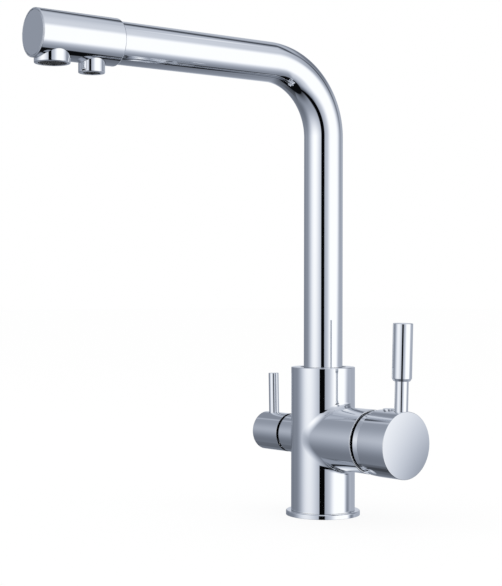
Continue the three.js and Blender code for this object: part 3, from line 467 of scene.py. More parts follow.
def body_casting():
    skin, lines = casting_skin()
    top = end_runs([
        (COLUMN_RADIUS, COLUMN_TOP - COLUMN_EDGE - 1), (COLUMN_RADIUS, COLUMN_TOP),
        (16.4, COLUMN_TOP), (16.4, 100.4), (14.3, 100.4), (14.3, 74), (4.3, 74), (4.3, 66),
        (0, 66),
    ], [0, COLUMN_EDGE, 0.2, 0, 0, 0, 0, 0, 0])
    foot = section([
        (0, 16.5), (19.2, 16.5), (19.2, COLUMN_FOOT), (COLUMN_RADIUS, COLUMN_FOOT),
    ], [0, 0, 0, 0], closed=False)
    skin.lathe(top, column, angles=lines)
    skin.lathe(foot, column, angles=lines)
    for branch, place in (MIXER_BRANCH, mixer), (FILTER_BRANCH, filtered):
        radius, end, edge = branch["radius"], branch["end"], branch["edge"]
        bore, low = branch["bore"], branch["bore_floor"]
        skin.lathe(end_runs(
            [(radius, end - edge - 1), (radius, end), (bore, end), (bore, low), (0, low)],
            [0, edge, 0.3, 0, 0],
        ), place, ROUND_SIDES)
    lock_axis = axis_frame([0, 0, LOCK_HEIGHT], [0, 1, 0], [0, 0, 1])
    return carved("body_shell", skin, [rod(2.2, 13, 24, lock_axis, HOLE_SIDES)])


# ------------------------ base and bonnet

def base_plate():
    return made("base_plate", lathed([
        (19.2, 0), (21, 0), (21, 1.6), (24, 1.6), (24, 0), (26.7, 0), (26.7, 3.4), (19.2, 3.4),
    ], [0, 0, 0, 0, 0, 0.2, 0.8, 0], column, ROUND_SIDES))


def swivel_ring():
    return made("swivel_ring", lathed(
        [(14.3, 100.5), (16.2, 100.5), (16.2, 106.4), (14.3, 106.4)], [0, 0, 0.4, 0.4], column,
    ))


def bonnet():
    return made("bonnet", lathed([
        (17.6, 50.1), (20.4, 50.1), (20.4, 51.6), (21.4, 51.6), (20.8, 56.2), (13.2, 56.2),
        (13.2, 54.2), (17.6, 54.2),
    ], [0, 0.15, 0.15, 0.25, 0.6, 0.2, 0, 0], mixer, ROUND_SIDES))


# ------------------------ mixer handle and lever

def local_point(place, x, y, z):
    return place[3] + place[0] * x + place[1] * y + place[2] * z


def box_tool(place, low, high):
    corners = []
    for z in (low[2], high[2]):
        for x, y in ((low[0], low[1]), (high[0], low[1]), (high[0], high[1]), (low[0], high[1])):
            corners.append(local_point(place, x, y, z))
    return Skin().block(corners)


def relief_tool():
    """A wedge that takes the lower back edge off the handle."""
    length, rise, past, half_width = 8.3, 1.95, 1.0, 24
    corners = []
    for x in (-half_width, half_width):
        corners += [
            local_point(mixer, x, -HANDLE_RADIUS - past, HANDLE_START - past),
            local_point(mixer, x, -HANDLE_RADIUS + rise * (1 + past / length), HANDLE_START - past),
            local_point(mixer, x, -HANDLE_RADIUS, HANDLE_START + length),
            local_point(mixer, x, -HANDLE_RADIUS - past, HANDLE_START + length),
        ]
    return Skin().block(corners)


def mixer_handle_shell():
    rim = HANDLE_END - HANDLE_SAG
    runs = section([
        (0, BOSS_START), (BOSS_HALF, BOSS_START), (BOSS_HALF, HANDLE_FRONT),
        (HANDLE_BORE, HANDLE_FRONT), (HANDLE_BORE, HANDLE_START), (HANDLE_RADIUS, HANDLE_START),
        (HANDLE_RADIUS, rim), (0, rim),
    ], [0, 0.3, 0.3, 1, 0.2, 0.25, HANDLE_EDGE, 0], closed=False)
    face = domed(runs, HANDLE_RADIUS - HANDLE_EDGE, HANDLE_END, HANDLE_SAG)
    boss = box_tool(mixer, (-BOSS_HALF, 0, BOSS_START), (BOSS_HALF, 20.6, 71))
    return carved("mixer_handle_shell", Skin().lathe(face, mixer, ROUND_SIDES), [
        box_tool(mixer, (-4.2, -4.2, 60), (4.2, 4.2, 75.7)),
        rod(2.7, 0, 24.5, plug, HOLE_SIDES),
        rod(3.3, 18.95, 24.6, plug, HOLE_SIDES),
        rod(4.9, 12.15, 24.5, mixer_lever, BORE_SIDES),
        relief_tool(),
    ], joins=[boss])


def handle_button():
    return made("handle_button", lathed([
        (0, 19.15), (3.1, 19.15), (3.1, 23.25), (4.1, 23.25), (4.1, 24.25), (0, 24.25),
    ], [0, 0.2, 0, 0.1, 0.35, 0], plug, SMALL_SIDES, closed=False))


def lever_bar():
    return made("lever_bar", rod(4.7, 12.25, 78, mixer_lever, edge=0.3))


def grip_sleeve():
    return made("grip_sleeve", lathed([
        (0, 78.1), (4.9, 78.1), (4.9, 43.7), (5.7, 43.7), (6.85, 45.6), (6.85, 83.1), (0, 83.1),
    ], [0, 0, 0.1, 0.15, 0.5, 0.6, 0], mixer_lever, closed=False))


# ------------------------ filter handle

def filter_handle_shell():
    rim = FILTER_HANDLE_END - FILTER_HANDLE_SAG
    runs = section([
        (0, 46.5), (12.2, 46.5), (12.2, 35.2), (FILTER_HANDLE_RADIUS, 35.2),
        (FILTER_HANDLE_RADIUS, rim), (0, rim),
    ], [0, 0.4, 0.2, 0.3, FILTER_HANDLE_EDGE, 0], closed=False)
    face = domed(
        runs, FILTER_HANDLE_RADIUS - FILTER_HANDLE_EDGE, FILTER_HANDLE_END, FILTER_HANDLE_SAG,
    )
    screw_axis = axis_frame(
        filtered[3] + filtered[2] * FILTER_SCREW_PLACE, -filtered[1], filtered[2],
    )
    return carved("filter_handle_shell", Skin().lathe(face, filtered, ROUND_SIDES), [
        rod(4.2, 45.5, 52.2, filtered, BORE_SIDES),
        rod(3.95, 6.1, 15.1, filter_lever, BORE_SIDES),
        rod(2.2, 0, 15.1, screw_axis, HOLE_SIDES),
    ])


def filter_bar():
    return made("filter_bar", rod(3.75, 6.2, 43.5, filter_lever, edge=0.4))


# ------------------------ spout and head

def spout_path():
    """Stations up the column, round the bend and along the arm: place and direction."""
    stations = [((0, TUBE_FOOT), (0, 1)), ((0, ARM_HEIGHT - BEND_RADIUS), (0, 1))]
    for step in range(1, BEND_STEPS + 1):
        angle = math.pi / 2 * step / BEND_STEPS
        reach = BEND_RADIUS * (1 - math.cos(angle))
        height = ARM_HEIGHT - BEND_RADIUS + BEND_RADIUS * math.sin(angle)
        stations.append(((reach, height), (math.sin(angle), math.cos(angle))))
    stations.append(((TUBE_END, ARM_HEIGHT), (1, 0)))
    return stations


def bent_tube():
    out = arm[2]
    across = arm[0]
    up = np.array([0, 0, 1.0])
    angles = np.linspace(0, 2 * math.pi, MEDIUM_SIDES + 1)
    skin = Skin()
    places = []
    rings = []
    for (reach, height), (run, climb) in spout_path():
        places.append(out * reach + up * height)
        inside = out * climb - up * run
        rings.append(np.outer(np.cos(angles), across) + np.outer(np.sin(angles), inside))
    places = np.array(places)[:, None, :]
    rings = np.array(rings)
    skin.grid(places + rings * TUBE_RADIUS, rings)
    skin.grid(places + rings * TUBE_BORE, -rings)
    for index, direction in ((0, -up), (-1, out)):
        ends = np.array([places[index] + rings[index] * size for size in (TUBE_BORE, TUBE_RADIUS)])
        skin.grid(ends, np.broadcast_to(direction, ends.shape).copy())
    return made("bent_tube", skin)


def head_shell():
    skin = lathed([
        (14.2, HEAD_START), (HEAD_RADIUS, HEAD_START), (HEAD_RADIUS, HEAD_END), (14.5, HEAD_END),
        (14.5, 231.2), (12.6, 231.2), (12.6, 180), (14.2, 180),
    ], [0, 0.8, 0.6, 0.15, 0, 0, 0, 0], arm, ROUND_SIDES)
    holes = []
    for place, mouth, radius in (aerator, AERATOR_MOUTH, 11.7), (nozzle, NOZZLE_MOUTH, 8.8):
        low = ARM_HEIGHT - HEAD_RADIUS - 2 - mouth
        high = ARM_HEIGHT - OUTLET_TOP - mouth
        holes.append(rod(radius, low, high, place, MEDIUM_SIDES))
    return carved("head_shell", skin, holes)


def end_cap():
    return made("end_cap", lathed([
        (0, 231.3), (14.3, 231.3), (14.3, 232.3), (0, 232.3),
    ], [0, 0, 0.35, 0], arm, ROUND_SIDES, closed=False))


def outlet_collar(name, place, radius, bore, height):
    """A turned cup with a thin lip round its mouth."""
    mouth = bore - OUTLET_LIP
    return made(name, lathed([
        (mouth, 0), (radius, 0), (radius, height), (bore, height), (bore, OUTLET_LIP),
        (mouth, OUTLET_LIP),
    ], [0.15, 0.5, 0.2, 0, 0, 0.1], place))


# ------------------------ shader groups

SOCKETS = {
    "Colour": "NodeSocketColor", "Other colour": "NodeSocketColor",
    "Geometry": "NodeSocketGeometry",
}
WHITE = (1, 1, 1, 1)
# painted shade: the near-black colour laid into the gaps beside the handles, where their shadow
# falls
GAP_SHADE_COLOUR = (0.004, 0.004, 0.005, 1)
BUMP_DEPTH = 0.00005


def grey(value):
    return (value, value, value, 1)


def fill(tree, node, inputs):
    """Links or fills some inputs of a node."""
    for key, value in inputs.items():
        if isinstance(value, bpy.types.NodeSocket):
            tree.links.new(value, node.inputs[key])
        else:
            node.inputs[key].default_value = value


def add(tree, kind, inputs=None, **settings):
    """Adds a node, sets it, and links or fills its inputs."""
    node = tree.nodes.new(kind)
    for key, value in settings.items():
        setattr(node, key, value)
    fill(tree, node, inputs or {})
    return node


def maths(tree, operation, *values):
    node = add(tree, "ShaderNodeMath", dict(enumerate(values)), operation=operation)
    return node.outputs[0]


def split(tree, value):
    return add(tree, "ShaderNodeSeparateXYZ", {0: value}).outputs


def xyz(tree, **parts):
    return add(tree, "ShaderNodeCombineXYZ", parts).outputs[0]


def ranged(tree, value, start, end, low=0.0, high=1.0, curve="LINEAR"):
    """Moves a value from one range to another."""
    return add(tree, "ShaderNodeMapRange", {
        "Value": value, "From Min": start, "From Max": end, "To Min": low, "To Max": high,
    }, interpolation_type=curve).outputs[0]


def blended(tree, share, colour, other, **settings):
    """Mixes a share of another colour into a colour."""
    inputs = {"Factor": share, "A": colour, "B": other}
    return add(tree, "ShaderNodeMix", inputs, data_type="RGBA", **settings).outputs[2]


def own_place(tree):
    return add(tree, "ShaderNodeTexCoord").outputs["Object"]


def noise(tree, place, scale, **inputs):
    inputs = {"Vector": place, "Scale": scale, **inputs}
    return add(tree, "ShaderNodeTexNoise", inputs).outputs["Fac"]


def new_socket(tree, side, label):
    return tree.interface.new_socket(
        name=label, in_out=side, socket_type=SOCKETS.get(label, "NodeSocketFloat"),
    )


def group_tree(name, inputs, *outputs, kind="ShaderNodeTree"):
    """A node group with named inputs and outputs, and its own two end nodes."""
    tree = bpy.data.node_groups.new(name, kind)
    for label, value in inputs.items():
        socket = new_socket(tree, "INPUT", label)
        if value is not None:
            socket.default_value = value
    for label in outputs:
        new_socket(tree, "OUTPUT", label)
    return tree, tree.nodes.new("NodeGroupInput").outputs, tree.nodes.new("NodeGroupOutput")


def smudge_group():
    """Faint cloudy wiping marks on polished metal."""
    tree, given, result = group_tree("wiping_marks", {
        "Clean": 0.03, "Smudged": 0.06, "Size": 90.0,
    }, "Roughness", "Height")
    place = own_place(tree)
    cloud = noise(tree, place, given["Size"], Detail=4.0, Roughness=0.6)
    mask = ranged(tree, cloud, 0.42, 0.75, given["Clean"], given["Smudged"], "SMOOTHSTEP")
    fill(tree, result, {"Roughness": mask, "Height": noise(tree, place, 900.0, Detail=2.0)})
    return tree


def mottle_group():
    """Slow drift between two near colours, as cast, moulded and turned parts show."""
    tree, given, result = group_tree("colour_drift", {
        "Colour": WHITE, "Other colour": WHITE, "Size": 200.0, "Grain": 2000.0,
    }, "Colour", "Height")
    place = own_place(tree)
    slow = noise(tree, place, given["Size"], Detail=5.0)
    blend = blended(tree, slow, given["Colour"], given["Other colour"])
    fill(tree, result, {"Colour": blend, "Height": noise(tree, place, given["Grain"])})
    return tree


def lathe_marks_group():
    """Fine rings that a turning tool leaves round a level axis."""
    tree, given, result = group_tree("turning_marks", {"Pitch": 1500.0}, "Height", "Roughness")
    rings = add(tree, "ShaderNodeTexWave", {
        "Vector": own_place(tree), "Scale": given["Pitch"], "Distortion": 0.4, "Detail": 2.0,
    }, wave_type="BANDS", bands_direction="X").outputs["Fac"]
    fill(tree, result, {
        "Height": rings, "Roughness": ranged(tree, rings, 0.0, 1.0, 0.24, 0.38),
    })
    return tree


def gap_shade_mask_group():
    """Where a surface lies between two places along the branches, within a radius: the mask for the
    painted gap shade.
    """
    tree, given, result = group_tree("gap", {"Low": 0.0, "High": 0.01, "Radius": 0.02}, "Mask")
    parts = split(tree, own_place(tree))
    rise = maths(tree, "SUBTRACT", parts["Z"], BRANCH_HEIGHT * METRE)
    across = xyz(tree, Y=parts["Y"], Z=rise)
    reach = add(tree, "ShaderNodeVectorMath", {0: across}, operation="LENGTH").outputs["Value"]
    inside = maths(tree, "LESS_THAN", reach, given["Radius"])
    past = maths(tree, "GREATER_THAN", parts["X"], given["Low"])
    before = maths(tree, "LESS_THAN", parts["X"], given["High"])
    mask = maths(tree, "MULTIPLY", inside, maths(tree, "MULTIPLY", past, before))
    fill(tree, result, {"Mask": mask})
    return tree


GROUPS = {
    "gap": gap_shade_mask_group(),
    "smudge": smudge_group(),
    "mottle": mottle_group(),
    "lathe_marks": lathe_marks_group(),
}


def use(tree, group, inputs=None, label=""):
    """Uses a shared group, and gives its outputs."""
    return add(tree, "ShaderNodeGroup", inputs, node_tree=GROUPS[group], label=label).outputs


def new_material(name, metallic):
    """A material with one Principled shader."""
    material = bpy.data.materials.new(name)
    material.use_nodes = True
    shader = material.node_tree.nodes["Principled BSDF"]
    shader.inputs["Metallic"].default_value = metallic
    return material, material.node_tree, shader


def bumped(tree, height, strength):
    return add(tree, "ShaderNodeBump", {
        "Height": height, "Strength": strength, "Distance": BUMP_DEPTH,
    }).outputs["Normal"]


def paint_gap_shade(tree, colour):
    """Paints shade into a colour down in the two gaps beside the handles: a near-black painted
    shadow where little light gets in.
    """
    gaps = []
    for low, high, radius in MIXER_GAP_SHADE, FILTER_GAP_SHADE:
        gaps.append(use(tree, "gap", {
            "Low": low * METRE, "High": high * METRE, "Radius": radius * METRE,
        })["Mask"])
    return blended(tree, maths(tree, "MAXIMUM", *gaps), colour, GAP_SHADE_COLOUR)


def chrome(name, gaps=False):
    material, tree, shader = new_material(name, 1.0)
    colour = use(tree, "mottle", {
        "Colour": (0.88, 0.90, 0.925, 1), "Other colour": (0.90, 0.91, 0.925, 1), "Size": 30.0,
    })["Colour"]
    wiped = use(tree, "smudge", {"Clean": 0.025, "Smudged": 0.045, "Size": 70.0})
    # With gaps, painted shade blackens the colour down in the gaps beside the handles.
    fill(tree, shader, {
        "Base Color": paint_gap_shade(tree, colour) if gaps else colour,
        "Roughness": wiped["Roughness"],
    })
    return material


def turned_metal(name, colour, other):
    material, tree, shader = new_material(name, 1.0)
    drift = use(tree, "mottle", {"Colour": colour, "Other colour": other, "Size": 180.0})
    marks = use(tree, "lathe_marks", {"Pitch": 1400.0})
    # Painted shade blackens the brass and steel down in the gaps beside the handles.
    fill(tree, shader, {
        "Base Color": paint_gap_shade(tree, drift["Colour"]),
        "Roughness": marks["Roughness"],
        "Normal": bumped(tree, marks["Height"], 0.15),
    })
    return material


def moulded(name, colour, other, rough, smudged, grain, strength):
    material, tree, shader = new_material(name, 0.0)
    drift = use(tree, "mottle", {
        "Colour": colour, "Other colour": other, "Size": 160.0, "Grain": grain,
    })
    wiped = use(tree, "smudge", {"Clean": rough, "Smudged": smudged, "Size": 240.0})
    fill(tree, shader, {
        "Base Color": drift["Colour"],
        "Roughness": wiped["Roughness"],
        "Normal": bumped(tree, drift["Height"], strength),
    })
    return material


FINISHES = {
    "chrome": chrome("polished_chrome"),
    # Chrome with painted black shade down in the gaps beside the handles.
    "gap_shaded_chrome": chrome("polished_chrome_with_painted_gap_shade", gaps=True),
    "brass": turned_metal("turned_brass", (0.70, 0.54, 0.30, 1), (0.60, 0.45, 0.23, 1)),
    "steel": turned_metal("bright_steel", (0.60, 0.61, 0.63, 1), (0.52, 0.53, 0.55, 1)),
    "rubber": moulded(
        "seal_rubber", (0.025, 0.025, 0.027, 1), (0.04, 0.04, 0.042, 1),
        rough=0.75, smudged=0.9, grain=2600.0, strength=0.4,
    ),
    "black_plastic": moulded(
        "black_moulding", (0.028, 0.029, 0.032, 1), (0.042, 0.043, 0.047, 1),
        rough=0.4, smudged=0.55, grain=1800.0, strength=0.2,
    ),
    "white_plastic": moulded(
        "white_moulding", (0.84, 0.84, 0.81, 1), (0.80, 0.80, 0.77, 1),
        rough=0.35, smudged=0.5, grain=1800.0, strength=0.15,
    ),
    "ceramic": moulded(
        "lapped_ceramic", (0.88, 0.86, 0.82, 1), (0.84, 0.82, 0.78, 1),
        rough=0.15, smudged=0.25, grain=3000.0, strength=0.05,
    ),
}


# ------------------------ flow inserts

COMB_SIZES = {"Radius": 0.0096, "Rim": 0.0011, "Height": 0.0046, "Pitch": 0.0025, "Web": 0.00045}
STAR_SIZES = {
    "Radius": 0.0062, "Rim": 0.0009, "Height": 0.0035, "Hub": 0.0014, "Thickness": 0.0006,
}
CELL_ROWS = 11
VANES = 8
RIM_SIDES = 64


def geometry_tree(name, sizes):
    """A geometry tree with named sizes in metres."""
    return group_tree(name, {"Geometry": None, **sizes}, "Geometry", kind="GeometryNodeTree")


def finish_tree(tree, parts, material, result):
    """Joins the parts, makes them real and colours them."""
    joined = add(tree, "GeometryNodeJoinGeometry")
    for part in parts:
        tree.links.new(part, joined.inputs[0])
    real = add(tree, "GeometryNodeRealizeInstances", {0: joined.outputs[0]})
    dressed = add(tree, "GeometryNodeSetMaterial", {
        "Geometry": real.outputs[0], "Material": material,
    })
    fill(tree, result, {"Geometry": dressed.outputs[0]})
    return tree


def ring_wall(tree, outer, inner, height, sides):
    """A ring of rectangular section made from an outline and a section."""
    middle = maths(tree, "MULTIPLY", maths(tree, "ADD", outer, inner), 0.5)
    outline = add(tree, "GeometryNodeCurvePrimitiveCircle", {
        "Resolution": sides, "Radius": middle,
    })
    profile = add(tree, "GeometryNodeCurvePrimitiveQuadrilateral", {
        "Width": maths(tree, "SUBTRACT", outer, inner), "Height": height,
    })
    return add(tree, "GeometryNodeCurveToMesh", {
        "Curve": outline.outputs["Curve"], "Profile Curve": profile.outputs[0],
    }).outputs["Mesh"]


def comb_tree(material):
    """A honeycomb of thin cells inside a rim."""
    tree, given, result = geometry_tree("honeycomb", COMB_SIZES)
    across = maths(tree, "DIVIDE", given["Pitch"], math.cos(math.pi / 6))
    cell_outer = maths(tree, "MULTIPLY", across, 0.5)
    web = maths(tree, "DIVIDE", given["Web"], 2 * math.cos(math.pi / 6))
    cell_inner = maths(tree, "SUBTRACT", cell_outer, web)
    cell = ring_wall(tree, cell_outer, cell_inner, given["Height"], 6)
    turned_cell = add(tree, "GeometryNodeTransform", {
        "Geometry": cell, "Rotation": (0, 0, math.pi / 6),
    }).outputs[0]
    row_pitch = maths(tree, "MULTIPLY", given["Pitch"], math.sin(math.pi / 3))
    grid = add(tree, "GeometryNodeMeshGrid", {
        "Size X": maths(tree, "MULTIPLY", given["Pitch"], CELL_ROWS - 1.0),
        "Size Y": maths(tree, "MULTIPLY", row_pitch, CELL_ROWS - 1.0),
        "Vertices X": CELL_ROWS, "Vertices Y": CELL_ROWS,
    }).outputs["Mesh"]
    spot = add(tree, "GeometryNodeInputPosition").outputs[0]
    parts = split(tree, spot)
    row = maths(tree, "ROUND", maths(tree, "DIVIDE", parts["Y"], row_pitch))
    odd = maths(tree, "PINGPONG", row, 1.0)
    shift = maths(tree, "MULTIPLY", odd, maths(tree, "MULTIPLY", given["Pitch"], 0.5))
    staggered = add(tree, "GeometryNodeSetPosition", {
        "Geometry": grid, "Offset": xyz(tree, X=shift),
    }).outputs[0]
    reach = add(tree, "ShaderNodeVectorMath", {0: spot}, operation="LENGTH").outputs["Value"]
    limit = maths(
        tree, "SUBTRACT", maths(tree, "SUBTRACT", given["Radius"], given["Rim"]), cell_inner,
    )
    outside = add(tree, "FunctionNodeCompare", {0: reach, 1: limit}, operation="GREATER_THAN")
    kept = add(tree, "GeometryNodeDeleteGeometry", {
        "Geometry": staggered, "Selection": outside.outputs[0],
    }, domain="POINT").outputs[0]
    cells = add(tree, "GeometryNodeInstanceOnPoints", {
        "Points": kept, "Instance": turned_cell,
    }).outputs[0]
    rim_inner = maths(tree, "SUBTRACT", given["Radius"], maths(tree, "MULTIPLY", given["Rim"], 1.6))
    rim = ring_wall(tree, given["Radius"], rim_inner, given["Height"], RIM_SIDES)
    return finish_tree(tree, (cells, rim), material, result)


def star_tree(material):
    """Straight vanes between a hub and a rim."""
    tree, given, result = geometry_tree("vane_star", STAR_SIZES)
    rim_inner = maths(tree, "SUBTRACT", given["Radius"], given["Rim"])
    length = maths(tree, "SUBTRACT", rim_inner, maths(tree, "MULTIPLY", given["Hub"], 0.6))
    size = xyz(tree, X=length, Y=given["Thickness"], Z=given["Height"])
    vane = add(tree, "GeometryNodeMeshCube", {
        "Size": size, "Vertices X": 3, "Vertices Y": 2, "Vertices Z": 2,
    }).outputs["Mesh"]
    middle = maths(tree, "MULTIPLY", maths(tree, "ADD", rim_inner, given["Hub"]), 0.5)
    placed = add(tree, "GeometryNodeTransform", {
        "Geometry": vane, "Translation": xyz(tree, X=middle),
    }).outputs[0]
    points = add(tree, "GeometryNodePoints", {"Count": VANES}).outputs[0]
    index = add(tree, "GeometryNodeInputIndex").outputs[0]
    turn = maths(tree, "MULTIPLY", index, 2 * math.pi / VANES)
    rotation = xyz(tree, Z=turn)
    vanes = add(tree, "GeometryNodeInstanceOnPoints", {
        "Points": points, "Instance": placed, "Rotation": rotation,
    }).outputs[0]
    hub = add(tree, "GeometryNodeMeshCylinder", {
        "Vertices": 32, "Radius": given["Hub"], "Depth": given["Height"],
    }).outputs["Mesh"]
    rim = ring_wall(tree, given["Radius"], rim_inner, given["Height"], RIM_SIDES)
    return finish_tree(tree, (vanes, hub, rim), material, result)


def frame_matrix(across, up, along, origin):
    return Matrix([*zip(across, up, along, origin), (0, 0, 0, 1)])


def grown(name, tree, sizes, place):
    """Runs a geometry tree with the given sizes and moves its mesh into an outlet."""
    holder = scene_object(name, bpy.data.meshes.new(name))
    modifier = holder.modifiers.new("shape", "NODES")
    modifier.node_group = tree
    for item in tree.interface.items_tree:
        if item.in_out == "INPUT" and item.name in sizes:
            modifier[item.identifier] = sizes[item.name]
    depsgraph = bpy.context.evaluated_depsgraph_get()
    mesh = bpy.data.meshes.new_from_object(holder.evaluated_get(depsgraph))
    holder.modifiers.remove(modifier)
    height = INSERT_DEPTH * METRE + sizes["Height"] / 2
    basis = frame_matrix(*place[:3], place[3] * METRE)
    mesh.transform(basis @ Matrix.Translation((0, 0, height)))
    shell = bmesh.new()
    shell.from_mesh(mesh)
    bmesh.ops.remove_doubles(shell, verts=shell.verts, dist=1e-7)
    bmesh.ops.recalc_face_normals(shell, faces=shell.faces)
    shell.to_mesh(mesh)
    shell.free()
    holder.data = mesh
    return holder


# ------------------------ the object

def coloured(piece, finish):
    piece.data.materials.clear()
    piece.data.materials.append(FINISHES[finish])


def finish_piece(piece, body, replaced, slot="chrome", finish=None):
    """Colours a piece, fixes it to its body and hides the part that it stands for."""
    coloured(piece, finish or slot)
    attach(piece, body)
    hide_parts(replaced)


comb = grown("stream_comb", comb_tree(FINISHES["black_plastic"]), COMB_SIZES, aerator)
star = grown("vane_star", star_tree(FINISHES["black_plastic"]), STAR_SIZES, nozzle)

# The casting, bonnet and filter handle take chrome with painted shade in the gaps beside the
# handles.
finish_piece(body_casting(), "valve_body", "body_casting", finish="gap_shaded_chrome")
finish_piece(base_plate(), "valve_body", "base_flange")
finish_piece(swivel_ring(), "valve_body", "spout_bearing_ring", "black_plastic")
finish_piece(bonnet(), "valve_body", "bonnet_ring", finish="gap_shaded_chrome")

finish_piece(mixer_handle_shell(), "mixer_lever", "mixer_handle")
finish_piece(handle_button(), "mixer_lever", "handle_plug")
finish_piece(lever_bar(), "mixer_lever", "lever_rod")
finish_piece(grip_sleeve(), "mixer_lever", "lever_grip")

finish_piece(filter_handle_shell(), "filter_valve", "filter_handle", finish="gap_shaded_chrome")
finish_piece(filter_bar(), "filter_valve", "filter_lever_rod")

finish_piece(bent_tube(), "spout", "spout_tube")
finish_piece(head_shell(), "spout", "outlet_head")
finish_piece(end_cap(), "spout", "head_cap")
finish_piece(outlet_collar("aerator_collar", aerator, 11.5, 9.8, 9.6), "spout", "aerator_housing")
finish_piece(outlet_collar("nozzle_collar", nozzle, 8.6, 6.4, 13.15), "spout", "filter_nozzle")
finish_piece(comb, "spout", "aerator_insert", "black_plastic")
finish_piece(star, "spout", "filter_nozzle_insert", "black_plastic")

CARRIED = {
    "brass": ["hose_manifold", "cartridge_nut", "filter_headwork", "filter_spindle", "spout_seat",
              "filter_elbow"],
    "steel": ["spout_lock_screw", "stem_pin", "cartridge_stem", "handle_screw",
              "filter_handle_screw"],
    "rubber": ["base_gasket", "manifold_gasket", "cartridge_seal", "filter_seal",
               "spout_seal_lower", "spout_seal_upper", "aerator_washer", "nozzle_washer"],
    "black_plastic": ["disc_carrier"],
    "white_plastic": ["cartridge_housing", "cartridge_turret", "filter_tube"],
    "ceramic": ["cartridge_fixed_disc", "cartridge_moving_disc", "filter_fixed_disc",
                "filter_moving_disc"],
}
for finish_name, node_names in CARRIED.items():
    for node_name in node_names:
        coloured(nodes[node_name], finish_name)


# ------------------------ studio

CAMERA_TURN = 40.4  # degrees that the camera stands from +X towards -Y
TENT_RADIUS = 20
FLOOR_REACH = 12
FLOOR_GLOW = 0.86  # share of plain white in the floor that the camera sees
TAP_MIDDLE = (0, 0, 0.16)
DIM_TINT = (0.89, 0.99, 1.2, 1)
DIM_LIGHT = 0.2
FULL_LIGHT = 1.12
PANEL_SIZES = ("Middle", "Half width", "Side blur", "Level", "Half height", "End blur", "Bow")


def soft_panel_group():
    """How much of a soft edged panel stands in a direction."""
    inputs = dict.fromkeys(("Turn", "Rise") + PANEL_SIZES, 0.0)
    tree, given, result = group_tree("soft_panel", inputs, "Mask")
    turn = maths(tree, "SUBTRACT", given["Turn"], given["Middle"])
    turn = maths(tree, "WRAP", turn, -180.0, 180.0)
    sag = maths(tree, "MULTIPLY", maths(tree, "MULTIPLY", turn, turn), given["Bow"])
    rise = maths(tree, "ADD", maths(tree, "SUBTRACT", given["Rise"], given["Level"]), sag)
    masks = []
    for value, half, blur in ((turn, "Half width", "Side blur"), (rise, "Half height", "End blur")):
        masks.append(ranged(
            tree, maths(tree, "ABSOLUTE", value),
            maths(tree, "SUBTRACT", given[half], given[blur]),
            maths(tree, "ADD", given[half], given[blur]),
            1.0, 0.0, "SMOOTHSTEP",
        ))
    fill(tree, result, {"Mask": maths(tree, "MULTIPLY", *masks)})
    return tree


GROUPS["soft_panel"] = soft_panel_group()

# Each panel: its PANEL_SIZES in degrees, turned with the camera, and its brightness.
PANELS = [
    ("left_wall", (-154.1, 22.8, 5.1, 3.9, 41.1, 1, 0), 0.28),
    ("back_light", (173.5, 11, 5.8, -5.6, 30.2, 23.4, 0), 0.68),
    ("right_rear_wall", (129.3, 36.2, 16, -5.2, 46.8, 22.3, 0), 0.44),
    ("rear_shade", (146, 20, 6, 31, 9, 5, 0), 0.2),
    ("left_softbox_rim", (-72.4, 53.5, 3.5, -0.6, 60.3, 15.7, 0), 0.33),
    ("left_softbox", (-54.8, 30.6, 30.2, 7.4, 23.4, 35.4, 0), 1.18),
    ("right_softbox_rim", (57.4, 44.4, 21.8, 1.4, 61.8, 20.7, 0), 0.72),
    ("right_softbox", (62.5, 32, 11, -2.1, 33.1, 8.5, 0), 1.1),
    ("ceiling_edge", (146.7, 40, 5, 54.9, 3.5, 3.4, 0.0078), 0.05),
    ("ceiling_lamp", (107.6, 7.1, 7, 54.9, 2.2, 2.2, 0), 0.91),
    ("stand", (114.8, 7.2, 4.2, 28.7, 18, 18, 0), 0.1),
    ("table_right", (88, 21.4, 5.3, -55.1, 9.5, 23.6, 0), 0.23),
    ("table_back", (184, 12.2, 20.7, -51.1, 35.7, 14.2, 0), 0.15),
    ("table_gap", (133, 18, 5, -58, 5.2, 1, 0), 0.01),
    ("left_table", (-129.1, 35.2, 26.8, -28.8, 23.8, 24.8, 0), 0.17),
    ("right_wall_top", (93.6, 11.7, 7.9, 25.4, 4.4, 21.6, 0), 0.18),
    ("right_wall_foot", (95.2, 10, 9.5, -18.5, 13.6, 11, 0), 0.08),
    ("left_shelf", (-139, 6, 2, 45.2, 1.3, 1, 0), 0.05),
    ("left_table_edge", (-150, 14, 4, -46, 1.2, 1, 0), 0.06),
    ("flag", (-6.1, 9.6, 0.9, -30, 45, 2, 0), 0.002),
]
WELL = (140, -83.2, 24.8)  # the dark patch under the table: turn, rise and half width in degrees
WELL_BLUR = 1.2
WELL_LIGHT = 0.004
ROOM_STOPS = [  # rise in degrees, and the room's brightness there
    (-90, 0.01), (-66, 0.04), (-58, 0.02), (-51, 0.02), (-40, 0.04), (-30, 0.256), (-8, 0.336),
    (20, 0.03), (45, 0.09), (60, 0.415), (90, 0.68),
]


def well_mask(tree, way):
    """Where a direction falls into the round dark patch under the table."""
    turn, rise, reach = WELL
    turn = math.radians(turn - CAMERA_TURN)
    rise = math.radians(rise)
    middle = (math.cos(rise) * math.cos(turn), math.cos(rise) * math.sin(turn), math.sin(rise))
    nearness = add(tree, "ShaderNodeVectorMath", {0: way, 1: middle}, operation="DOT_PRODUCT")
    return ranged(
        tree, nearness.outputs["Value"], math.cos(math.radians(reach + WELL_BLUR)),
        math.cos(math.radians(reach - WELL_BLUR)), curve="SMOOTHSTEP",
    )


def studio_material(name):
    """An empty material, and its output node."""
    material = bpy.data.materials.new(name)
    material.use_nodes = True
    material.node_tree.nodes.clear()
    return material, material.node_tree, add(material.node_tree, "ShaderNodeOutputMaterial")


